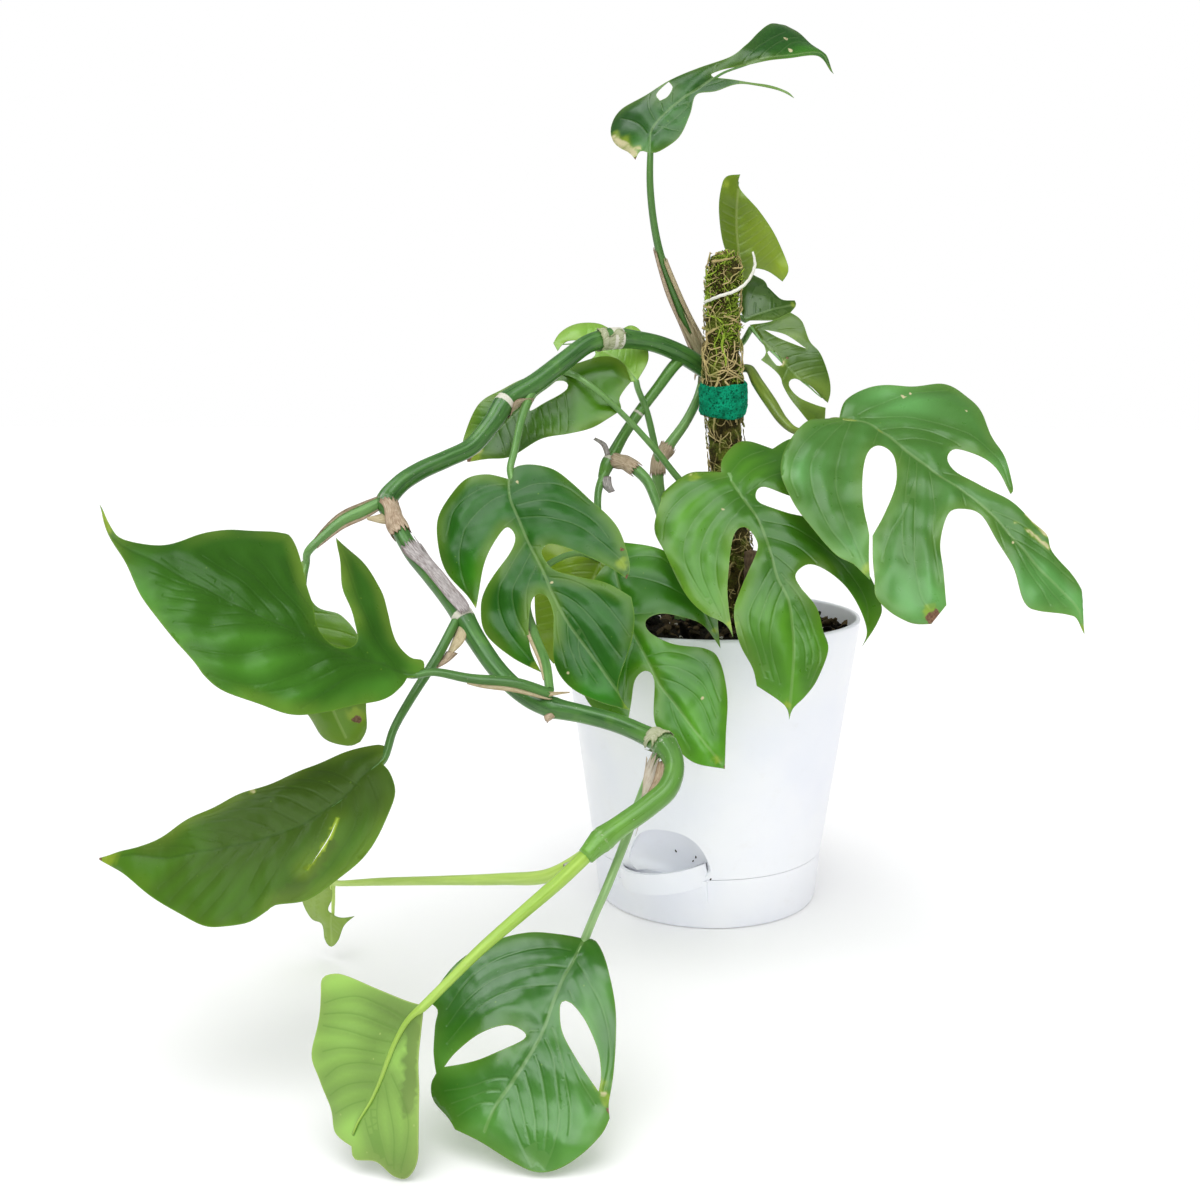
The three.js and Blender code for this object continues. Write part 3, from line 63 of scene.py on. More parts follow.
LEAVES = {
    "leaf_far_left": dict(
        base=(-110, -168, 148.5), tip=(-221, -196, 214), face=(0.15, -0.62, 0.77), arch=7, fold=0.1,
        curl=1.5, bow=7,
        outline=[(-1.5, 0, SHARP), (1, -5), (6.5, -3), (13.5, -6), (21.5, -17), (28, -27), (39, -36),
            (52, -41, SHARP), (48.5, -33.5), (41.5, -17.5), (33, -5), (28, 2.5), (29, 7.5), (35, 10.5),
            (43.5, 7.5), (50, -2.5), (58.5, -15.5), (67, -26.5), (71.5, -26), (83.5, -19), (93.5, -10.5),
            (101, 1), (108, 6.5), (118.5, 8.5), (124.5, 6), (132, 0, SHARP), (126.5, 6.5), (120, 12),
            (110.5, 20.5), (98, 30.5), (85.5, 37), (75.5, 42), (69.5, 45), (61.5, 46.5), (49, 45),
            (34.5, 41.5), (21, 30), (9, 19), (5, 10.5), (4, 4.5, SHARP)],
        petiole=[(-61, -157, 138, 2), (-75, -160, 143, 2.1), (-92, -163, 145, 1.9),
            (-106, -166, 148, 1.6)],
        veins=[[(1, 1), (8, 5), (16, 7), (28, 11), (36, 12), (48, 13), (64, 15), (79, 15), (95, 14),
            (107, 13), (115, 12), (122, 9), (128, 4)], [(9, 5), (21, -1), (33, -14), (43, -28), (50, -38)],
            [(33, 12), (42, 6), (54, -2), (64, -13)], [(46, 14), (58, 7), (72, 1), (83, -2)], [(62, 15),
            (75, 11), (88, 9), (100, 9)], [(80, 15), (92, 13), (103, 11)], [(13, 8), (22, 16), (29, 28),
            (35, 39)], [(26, 11), (34, 17), (42, 28), (51, 38), (62, 43), (69, 44)], [(46, 14), (57, 16),
            (68, 22), (78, 28), (88, 32)], [(66, 15), (76, 17), (86, 22), (96, 24)], [(85, 16), (94, 17),
            (104, 18)]]),
    "leaf_hanging_left": dict(
        base=(-173.5, -112, 184), tip=(-148.5, -136, 110), face=(-0.2, -0.9, 0.3), arch=6, fold=0.1,
        curl=2, bow=-3,
        outline=[(-1, 0, SHARP), (20.5, 2), (29, 12), (40.5, 17.5), (54, 17), (68.5, 12.5), (77.5, 9),
            (82, 4.5, SHARP), (82, -1), (76, -10), (65, -14), (53, -17), (35.5, -16.5), (14.5, -12),
            (3.5, -5.5)],
        petiole=[(-142, -98, 208, 2.6), (-150, -101, 204, 2.8), (-157.5, -104, 200.5, 2.5),
            (-165.5, -108, 193.5, 2.1), (-171.5, -111, 187, 1.7)]),
    "leaf_low_left": dict(
        base=(-123, -176, 117.5), tip=(-228.5, -200, 82), face=(0.1, -0.6, 0.8), arch=7, fold=0.12,
        curl=1.5, bow=6,
        outline=[(-2, -1, SHARP), (1.5, -5.5), (13, -5.5), (28.5, -3), (40, -1), (55.5, -0.5), (71.5, 1.5),
            (85.5, 4.5), (96.5, 4.5), (106, 1), (114, 0, SHARP), (105, 10.5), (95, 25), (85, 36.5),
            (74.5, 46), (62.5, 49), (54, 47.5), (51, 46.5), (40.5, 47.5), (29, 45), (16.5, 38),
            (7.5, 29.5), (0.5, 17.5), (0, 8.5), (2, 3.5, SHARP)],
        holes=[[(22, 21.5, SHARP), (26, 27.9), (31, 32.7), (38, 37.6, SHARP), (31.2, 32.4), (26.3, 27.7)]],
        petiole=[(-103.5, -132, 162, 2), (-109, -144, 149.5, 2), (-116.5, -158, 136, 1.8),
            (-121, -170, 126, 1.6)],
        veins=[[(1, 1), (11, 8), (16, 12), (24, 16), (36, 20), (47, 21), (58, 20), (73, 17), (85, 14),
            (100, 6), (110, 2)], [(12, 11), (22, 1), (33, -2)], [(22, 16), (31, 7), (45, 2), (58, 0)],
            [(36, 19), (48, 9), (62, 5), (75, 4)], [(53, 21), (63, 13), (76, 8), (89, 6)], [(71, 18),
            (82, 11), (94, 6)], [(8, 7), (7, 19), (12, 30), (23, 40), (35, 46)], [(14, 12), (16, 25),
            (26, 36), (39, 45), (50, 47)], [(26, 19), (35, 32), (45, 40), (55, 47)], [(42, 21), (52, 30),
            (62, 40), (71, 45)], [(58, 21), (67, 28), (76, 33), (84, 37)], [(74, 17), (82, 21), (91, 24)]]),
    "leaf_front": dict(
        base=(-43, -217, 64), tip=(-73.5, -257, 9.5), face=(-0.05, -0.7, 0.7), arch=5, fold=0.06, curl=3,
        bow=-6,
        outline=[(-0.5, 0, SHARP), (-1.5, 4), (3.5, 11), (13, 19), (23, 25), (36, 30.5), (45, 33),
            (48.5, 35, SHARP), (54, 35), (61.5, 32.5), (69.5, 27.5), (74, 21.5), (75, 13.5), (74.5, 0),
            (75, -10, SHARP), (73, -14), (70.5, -21.5), (66.5, -24.5), (62.5, -24.5, SHARP), (56.5, -29.5),
            (49, -33.5), (44, -35.5), (43, -40.5, SHARP), (36, -39.5), (23.5, -36), (13, -28), (6, -19),
            (2, -8.5)],
        holes=[[(59.5, -23, SHARP), (53.5, -21.5), (44.5, -16), (38, -8.5), (38, -1.5), (42.5, -3),
            (52, -12)], [(23, 4.5), (22, 7.5), (25, 14.5), (31.5, 22.5), (38, 27), (43, 28.5, SHARP),
            (37.5, 18), (32, 9.5), (26.5, 5.5)]],
        petiole=[(-18, -184, 124, 1.5), (-21, -184, 115.5, 1.7), (-24, -186, 107.5, 1.7),
            (-26.5, -190, 101, 1.7), (-29, -197, 94.5, 1.7), (-31.5, -205, 89, 1.6), (-35, -212, 81, 1.6),
            (-39, -215, 72, 1.5)],
        veins=[[(0, 0), (8, 1), (16, 1), (26, 2), (34, 3), (43, 3), (51, 2), (57, 1), (62, 0), (71, 0)],
            [(5, 1), (8, -9), (13, -17), (21, -25), (31, -30), (42, -32)], [(18, 1), (22, -6), (27, -13),
            (34, -19), (43, -23), (52, -26)], [(52, 2), (55, -4), (61, -11), (66, -19)], [(61, 1),
            (64, -5), (71, -11)], [(35, 3), (40, 10), (48, 16), (57, 21), (65, 23), (72, 23)], [(47, 2),
            (53, 8), (58, 12), (64, 16), (71, 20)], [(57, 1), (63, 6), (69, 13), (73, 19)], [(8, 2),
            (13, 10), (18, 17), (26, 24), (34, 28), (42, 30)], [(29, 8), (34, 12), (42, 21), (47, 29)]]),
    "leaf_new_front": dict(
        base=(-92.5, -251, 53), tip=(-115, -263, 9.5), face=(0.15, 0.85, -0.4), arch=-3, fold=-0.12,
        curl=0, bow=0,
        outline=[(-0.5, 0, SHARP), (1.5, 6.5), (3.5, 17), (6, 29.5), (8, 35), (11.5, 38), (16.5, 35.5),
            (26.5, 30.5), (34.5, 27), (39, 20.5), (44.5, 13), (51, 8), (51, 0, SHARP), (54, -3),
            (50.5, -10), (51.5, -17), (50, -21.5), (43.5, -22.5), (34, -18.5), (24.5, -12.5), (12.5, -6),
            (2.5, -1.5)],
        petiole=[(-40, -213, 95.5, 2.7), (-50.5, -223.5, 87.5, 2.5), (-63, -233, 78.5, 2.2),
            (-75.5, -241, 69, 1.9), (-86, -247.5, 59.5, 1.6)],
        veins=[[(0, 0), (6, 2), (13, 2), (20, 1), (28, 0), (35, 0), (42, 1), (47, 1)], [(6, 2), (7, 12),
            (9, 22), (13, 28), (18, 33)], [(14, 2), (18, 12), (21, 22), (24, 29)], [(22, 2), (26, 10),
            (31, 16), (37, 19)], [(33, 0), (39, 6), (45, 10)], [(23, -2), (28, -9), (33, -14), (40, -17),
            (49, -19)], [(30, -1), (37, -4), (43, -8), (49, -14)], [(38, 1), (43, -3), (48, -8)]]),
    "leaf_new_small": dict(
        base=(-166.5, -112, 39), tip=(-169, -106, 6.5), face=(-0.3, -0.9, 0.2), arch=0, fold=0.2, curl=1,
        bow=0,
        outline=[(-0.5, 0.5, SHARP), (8, 0), (15, -2), (16, 4.5), (13.5, 12, SHARP), (19, 7.5), (28, 4),
            (33, 0), (30.5, -4), (23.5, -6), (23, -12.5), (14, -18), (4, -10.5)],
        petiole=[(-37, -207, 97, 2), (-47, -204, 87.5, 2.3), (-57.5, -198, 79.5, 2.6),
            (-78.5, -180, 70.5, 2.3), (-107, -158, 60.5, 1.9), (-137, -136, 50.5, 1.7),
            (-160, -118, 42, 1.3)]),
    "leaf_behind_vine": dict(
        base=(-72.5, -16, 265), tip=(-116.5, -30, 222.5), face=(0.1, -0.85, 0.5), arch=3, fold=0.08,
        curl=1, bow=0,
        outline=[(0.5, -1, SHARP), (-9.5, 2), (-21, 7.5), (-25, 15), (-21, 25.5, SHARP), (-11, 28),
            (-6.5, 33), (5.5, 32), (19.5, 26), (31, 18), (47, 14), (55.5, 7, SHARP), (63.5, 0, SHARP),
            (57, -10), (40.5, -16.5), (25, -13.5), (8, -7)],
        holes=[[(25, 4), (15.5, 7), (4.5, 8.5), (3, 4.5), (9, 0), (16.5, 1)]],
        petiole=[(-19, 6, 178, 1.6), (-5.5, -2, 202, 1.7), (-15.5, -5, 212, 1.7), (-28.5, -12, 228.5, 1.6),
            (-44, -20, 245.5, 1.4), (-58, -25, 258, 1.4), (-66, -23, 263, 1.4)]),
    "leaf_new_top_left": dict(
        base=(-37, -10, 261.5), tip=(-80, 12, 279), face=(0.1, -0.85, 0.5), arch=3, fold=0.1, curl=1,
        bow=-6,
        outline=[(-0.5, 0.5, SHARP), (1, -10.5), (5, -17.5), (13.5, -25), (21, -26), (25.5, -19.5),
            (38, -21), (49, -15.5), (53, -8), (52, -0.5, SHARP), (46.5, 3, SHARP), (45.5, -3.5),
            (35.5, -7), (26.5, -3), (27, 2.5, SHARP), (31, 11, SHARP), (21, 9.5), (7, 5.5)],
        petiole=[(-26.5, 3, 220.5, 1.5), (-29.5, 2, 234, 1.7), (-32.5, 0, 246, 1.6),
            (-36.5, -7, 257, 1.5)]),
    "leaf_centre_left": dict(
        base=(-89.5, -80, 217), tip=(-32, -126, 124.5), face=(-0.1, -0.85, 0.5), arch=8, fold=-0.05,
        curl=2.5, bow=4,
        outline=[(-0.5, 0, SHARP), (-4, 4.5), (-1.5, 11.5), (6.5, 19.5), (17.5, 24), (30, 27.5), (42, 31),
            (51, 31.5), (64, 28.5), (69, 24.5, SHARP), (59, 19.5), (44, 8), (38.5, 2), (40.5, -2),
            (50, -1), (59, 7.5), (66.5, 16), (77, 22.5, SHARP), (85.5, 19.5), (94.5, 13), (106.5, 0.5),
            (113.5, -1), (118, 0, SHARP), (109, -10), (98.5, -17.5), (87, -19), (75.5, -13.5), (67, -9.5),
            (58.5, -9), (57, -14), (65, -20), (76.5, -25), (87, -25.5, SHARP), (75.5, -33.5), (61, -39),
            (50, -36.5), (42.5, -30.5), (34.5, -15), (28, -9), (22, -10), (24.5, -16), (33.5, -27),
            (48, -38, SHARP), (40.5, -39), (26.5, -42.5), (13.5, -41), (1, -36), (-6.5, -27.5),
            (-10.5, -17), (-7.5, -7.5)],
        petiole=[(-82, -43, 258, 2.1), (-85, -49, 251, 2.1), (-87, -58, 240.5, 1.8), (-88, -69, 229, 1.7),
            (-89, -76, 221, 1.6)],
        veins=[[(-2, 1), (9, -3), (20, -4), (33, -5), (46, -5), (59, -6), (73, -6), (88, -4), (102, -2),
            (117, 0)], [(8, -2), (9, 9), (17, 20), (31, 26)], [(20, -4), (26, 6), (36, 16), (48, 22),
            (60, 26), (67, 26)], [(51, -6), (58, 3), (69, 10), (82, 13), (91, 14)], [(63, -6), (74, -3),
            (89, -2), (102, -1), (112, 1)], [(79, -4), (89, -8), (102, -7)], [(7, -2), (6, -12), (12, -26),
            (25, -35), (39, -38), (46, -38)], [(3, 0), (-2, -11), (0, -26), (10, -35)], [(31, -4),
            (40, -17), (49, -27), (62, -30), (80, -27)], [(43, -5), (53, -15), (65, -21)], [(64, -6),
            (77, -12), (90, -15)]]),
    "leaf_centre": dict(
        base=(5.5, -66, 219.5), tip=(34.5, -114, 119), face=(-0.05, -0.75, 0.65), arch=12, fold=0.1,
        curl=2, bow=3,
        outline=[(-0.5, -1, SHARP), (-8, 1.5), (-15.5, 9.5), (-16, 16.5), (-9.5, 25.5, SHARP), (-14, 36),
            (-11, 46), (0, 52.5), (12.5, 51), (26, 45, SHARP), (24, 33.5), (18, 24.5), (11.5, 15.5),
            (14, 11), (20, 11), (27, 20.5), (32.5, 31), (42.5, 40), (56, 47), (74.5, 50.5), (82.5, 47),
            (92, 37, SHARP), (86, 41), (76.5, 40.5), (65.5, 36.5), (56.5, 30), (53, 23.5), (56.5, 17),
            (62.5, 17.5), (72.5, 22), (82, 22.5), (90.5, 22.5), (101.5, 15), (107, 8.5), (111, 2),
            (115, -0.5, SHARP), (109, -1), (98.5, -10.5, SHARP), (91, -10.5), (79.5, -13.5), (66.5, -12.5),
            (57, -7), (43, 3.5), (35.5, 4.5), (30, 1), (33.5, -4.5), (52, -11.5), (63, -14),
            (77, -15.5, SHARP), (70.5, -17.5), (63, -25), (52, -30.5), (31, -34.5), (18, -36),
            (6.5, -30.5), (1, -27.5), (-5, -15.5), (-3.5, -7.5)],
        petiole=[(-48, -8, 222, 2.2), (-40.5, -12, 220, 2.7), (-31.5, -17, 213, 2.6),
            (-26, -27, 202.5, 2.2), (-22, -40, 196, 1.8), (-9, -55, 203, 1.7), (1, -61, 212, 1.7)],
        veins=[[(5, 2), (17, 5), (28, 8), (39, 9), (46, 9), (56, 9), (67, 11), (78, 10), (88, 8), (98, 5),
            (107, 2), (113, 0)], [(3, 3), (3, -5), (6, -18), (15, -30), (25, -34)], [(10, 4), (13, -8),
            (23, -21), (36, -27), (51, -25), (65, -20)], [(19, 5), (28, -6), (39, -13), (51, -16),
            (63, -16), (74, -16)], [(1, 3), (-6, 11), (-9, 21)], [(14, 7), (7, 19), (5, 28)], [(29, 10),
            (35, 22), (46, 32), (60, 40), (74, 44), (87, 41)], [(37, 10), (44, 21), (53, 27)], [(50, 9),
            (59, 1), (70, -7), (85, -7), (96, -6)], [(60, 11), (70, 4), (83, -1), (100, -1)], [(55, 11),
            (67, 16), (80, 18), (93, 18), (104, 11)], [(74, 10), (86, 13), (97, 11)]]),
    "leaf_over_rim": dict(
        base=(-44.5, -62, 181), tip=(7, -106, 94.5), face=(0, -0.9, 0.4), arch=7, fold=0.05, curl=1.5,
        bow=-3,
        outline=[(-0.5, 0, SHARP), (-5.5, 4.5), (-1, 12), (9.5, 22.5), (22.5, 31), (40.5, 32.5),
            (52.5, 27), (62.5, 23, SHARP), (49.5, 21), (41.5, 14), (36.5, 6.5), (36.5, -0.5), (42, -1.5),
            (50.5, 4.5), (60, 17), (67.5, 20), (82.5, 16), (97.5, 7.5), (110, 0.5, SHARP), (102, -10),
            (90, -15), (79, -17.5), (62.5, -9.5), (57, -11), (58.5, -17), (67.5, -23.5),
            (72.5, -27, SHARP), (66, -35.5), (57, -39.5), (44.5, -38), (23.5, -27.5), (8.5, -14.5)],
        petiole=[(-51, -9, 219, 2.2), (-55, -13, 207.5, 1.9), (-54, -24, 194, 1.7),
            (-48.5, -46, 184, 1.6)],
        veins=[[(2, -1), (16, -4), (36, -8), (43, -8), (56, -8), (66, -8), (76, -6), (93, -3), (107, 0)],
            [(10, -3), (16, 6), (27, 16), (41, 24), (55, 24)], [(3, -2), (6, 11), (13, 20), (26, 22)],
            [(51, -8), (55, 4), (66, 13), (83, 12)], [(61, -8), (70, 0), (79, 4), (95, 3)], [(23, -4),
            (18, -12), (13, -12)], [(42, -9), (51, -17), (64, -25)], [(72, -7), (82, -9), (96, -9)]]),
    "leaf_shaded": dict(
        base=(-51, -44, 177), tip=(-72.5, -58, 129.5), face=(0.1, -0.9, 0.3), arch=3, fold=0, curl=1,
        bow=0,
        outline=[(-0.5, 0, SHARP), (6.5, 8.5), (18, 13), (38.5, 13), (49.5, 6.5), (54, 0, SHARP),
            (48.5, -9), (34.5, -18.5), (15, -26.5), (3.5, -26), (0, -13.5)],
        petiole=[(-62.5, -152, 138.5, 1.8), (-66, -137, 146, 2), (-73.5, -115, 154, 2),
            (-80, -90, 164, 1.8), (-75, -70, 176, 1.5), (-62, -54, 181, 1.4)]),
    "leaf_right": dict(
        base=(57.5, -58, 244.5), tip=(154, -110, 157), face=(0.1, -0.8, 0.6), arch=10, fold=-0.03, curl=2,
        bow=-10,
        outline=[(-0.5, -0.5, SHARP), (-5.5, 9), (-3, 21.5), (8, 36), (17, 50), (31, 51.5), (50, 42),
            (67.5, 31.5), (76, 25.5), (77.5, 22, SHARP), (67.5, 26), (55, 26), (46.5, 21.5), (47.5, 15),
            (54.5, 12), (66, 14), (78.5, 18.5), (92, 18.5), (100.5, 18.5), (107, 14.5), (118.5, 14.5),
            (129.5, 11), (135.5, 5), (140, 0, SHARP), (133.5, 2), (130, -0.5), (121.5, -9.5), (115, -11.5),
            (101.5, -4.5), (88, -0.5), (76.5, 3.5), (70.5, 0), (67.5, -7.5), (74, -19.5), (85.5, -30.5),
            (95.5, -38.5, SHARP), (97, -48.5, SHARP), (91.5, -54.5), (82, -58), (74, -58),
            (68.5, -53, SHARP), (54, -39.5, SHARP), (49.5, -27), (42, -12), (31.5, -2), (23.5, -2),
            (23, -9), (31.5, -21.5), (44.5, -34), (53, -40.5, SHARP), (67.5, -54.5, SHARP), (58, -53.5),
            (48, -56), (26.5, -51.5), (12, -46.5), (0.5, -38), (-6.5, -26), (-9, -12), (-5.5, -6)],
        petiole=[(9, 25, 264.5, 2), (13.5, 22.5, 266.5, 2), (18, 16, 266.5, 2.2), (22, 4.5, 259.5, 2.9),
            (28, -10, 250, 3), (33.5, -22, 241.5, 2.4), (39, -31, 237, 1.8), (47, -42, 238, 1.7),
            (54, -52, 242, 1.7)],
        veins=[[(2, 0), (12, 5), (23, 5), (35, 4), (46, 4), (57, 5), (65, 6), (75, 7), (83, 7), (97, 5),
            (109, 4), (120, 5), (131, 5), (138, 2)], [(4, 3), (-1, -9), (0, -26), (8, -40), (18, -46)],
            [(3, 2), (5, -13), (10, -30), (23, -41), (40, -49), (55, -52)], [(4, 3), (12, -13), (24, -30),
            (38, -40), (54, -48), (66, -53)], [(31, 5), (41, -13), (49, -29)], [(41, 2), (50, -9),
            (62, -23), (75, -36), (88, -45), (96, -46)], [(47, -6), (55, -22), (59, -35), (65, -45)],
            [(47, 3), (59, -7), (71, -21), (87, -34)], [(7, 5), (18, 16), (31, 26), (46, 32), (62, 31),
            (76, 24)], [(5, 6), (8, 20), (13, 35), (21, 47)], [(27, 6), (33, 13), (41, 19)], [(77, 8),
            (86, 12), (95, 14), (105, 14)], [(89, 5), (100, 8), (112, 11), (122, 12)], [(80, 7), (94, -1),
            (109, -5), (118, -9)], [(103, 3), (115, 1), (127, 1)]]),
    "leaf_top": dict(
        base=(-32.5, 2, 370), tip=(57, 24, 409), face=(-0.1, -0.9, 0.4), arch=7, fold=0.15, curl=1.5,
        bow=24,
        outline=[(0, -0.5, SHARP), (-3, 2.5), (-7, -0.5, SHARP), (-7.5, 7.5), (-10.5, 18), (-7, 28.5),
            (1, 33), (14, 30), (28, 30), (41, 28), (56.5, 26), (67, 30), (78, 38), (91, 43.5), (98, 36.5),
            (102, 17.5), (103, 11.5), (100, 0, SHARP), (99, 10), (91, 13.5), (69, 18.5), (49.5, 21.5),
            (44, 21), (53, 13.5), (67, 5.5), (74, -0.5), (75.5, -5.5, SHARP), (70.5, 1.5), (56.5, 10),
            (43.5, 12.5), (33.5, 15.5), (25.5, 6.5), (15.5, -1.5), (5, -2.5)],
        holes=[[(25, 29.5, SHARP), (24.5, 24), (20.5, 21), (16.5, 21.5, SHARP), (17, 26.5)]],
        petiole=[(-5.5, 28, 258, 2.3), (-4.5, 29.5, 266, 2.9), (-5.5, 28.5, 273, 3.1),
            (-8.5, 25.5, 279.5, 3.3), (-14.5, 18.5, 291.5, 2.9), (-20.5, 12, 305, 2.4), (-26, 8, 320, 2),
            (-29.5, 6, 335.5, 1.8), (-31.5, 4, 354, 1.7)],
        veins=[[(1, 0), (6, 9), (16, 14), (31, 17), (48, 20), (69, 20), (90, 17), (101, 14), (100, 3)],
            [(4, 4), (3, 16), (-2, 27)], [(10, 11), (11, 23), (16, 31)], [(20, 15), (22, 20), (30, 27)],
            [(5, 6), (13, 7), (21, 9), (28, 11)], [(9, 10), (14, 4), (18, 1)], [(37, 18), (51, 15),
            (64, 8), (75, -2)], [(59, 20), (74, 28), (91, 34)], [(77, 19), (92, 26), (100, 25)]]),
    "leaf_behind_pole": dict(
        base=(15.5, 16, 308), tip=(12.5, 14, 360.5), face=(0.2, -0.95, 0.1), arch=0, fold=-0.25, curl=0,
        bow=3,
        outline=[(-2, 0.5, SHARP), (7, 5), (19, 10), (35, 12), (46, 10.5), (51.5, 7.5), (52.5, 0, SHARP),
            (46, 0.5), (33.5, -8.5), (20, -16.5), (6.5, -21), (0, -18, SHARP), (5.5, -11.5), (7, -4.5),
            (2, -2.5)],
        petiole=[(10.5, 22.5, 295, 1.5), (9.5, 18.5, 301, 1.4)]),
    "leaf_pole_upper": dict(
        base=(16.5, 14, 291.5), tip=(41.5, 28, 299), face=(0, -0.9, 0.4), arch=2, fold=0.05, curl=1, bow=0,
        outline=[(-1, -1, SHARP), (0.5, 7.5), (5.5, 15.5), (15.5, 23.5, SHARP), (19.5, 17.5),
            (19, 13, SHARP), (23, 4.5), (30.5, 2.5, SHARP), (29, -1), (18, -6.5), (10, -6)],
        petiole=[(10.5, 23.5, 291, 1.5), (13.5, 19, 292, 1.4)]),
    "leaf_pole_lower": dict(
        base=(19, 10, 288), tip=(57, 2, 251), face=(0.1, -0.9, 0.4), arch=4, fold=0.05, curl=1, bow=-4,
        outline=[(-1, 0, SHARP), (5, 7.5), (8.5, 18.5, SHARP), (16, 19), (26, 14), (34, 13), (45, 8.5),
            (51, 4), (54, -0.5, SHARP), (43, -2), (34.5, -5.5), (35, -10), (44, -10), (55, -3, SHARP),
            (60.5, -10), (56.5, -14.5), (44, -14.5), (33.5, -12.5), (28.5, -10.5), (16.5, -11, SHARP),
            (15.5, -6.5), (9, -2.5)],
        holes=[[(6, 2.5, SHARP), (15, 7.5), (28, 10, SHARP), (16.5, 4.5)], [(16, -6), (18, -3), (25, -4.5),
            (24, -8)]],
        petiole=[(10, 25, 275, 1.5), (15, 19.5, 280, 1.5), (18, 13, 285, 1.5)]),
}

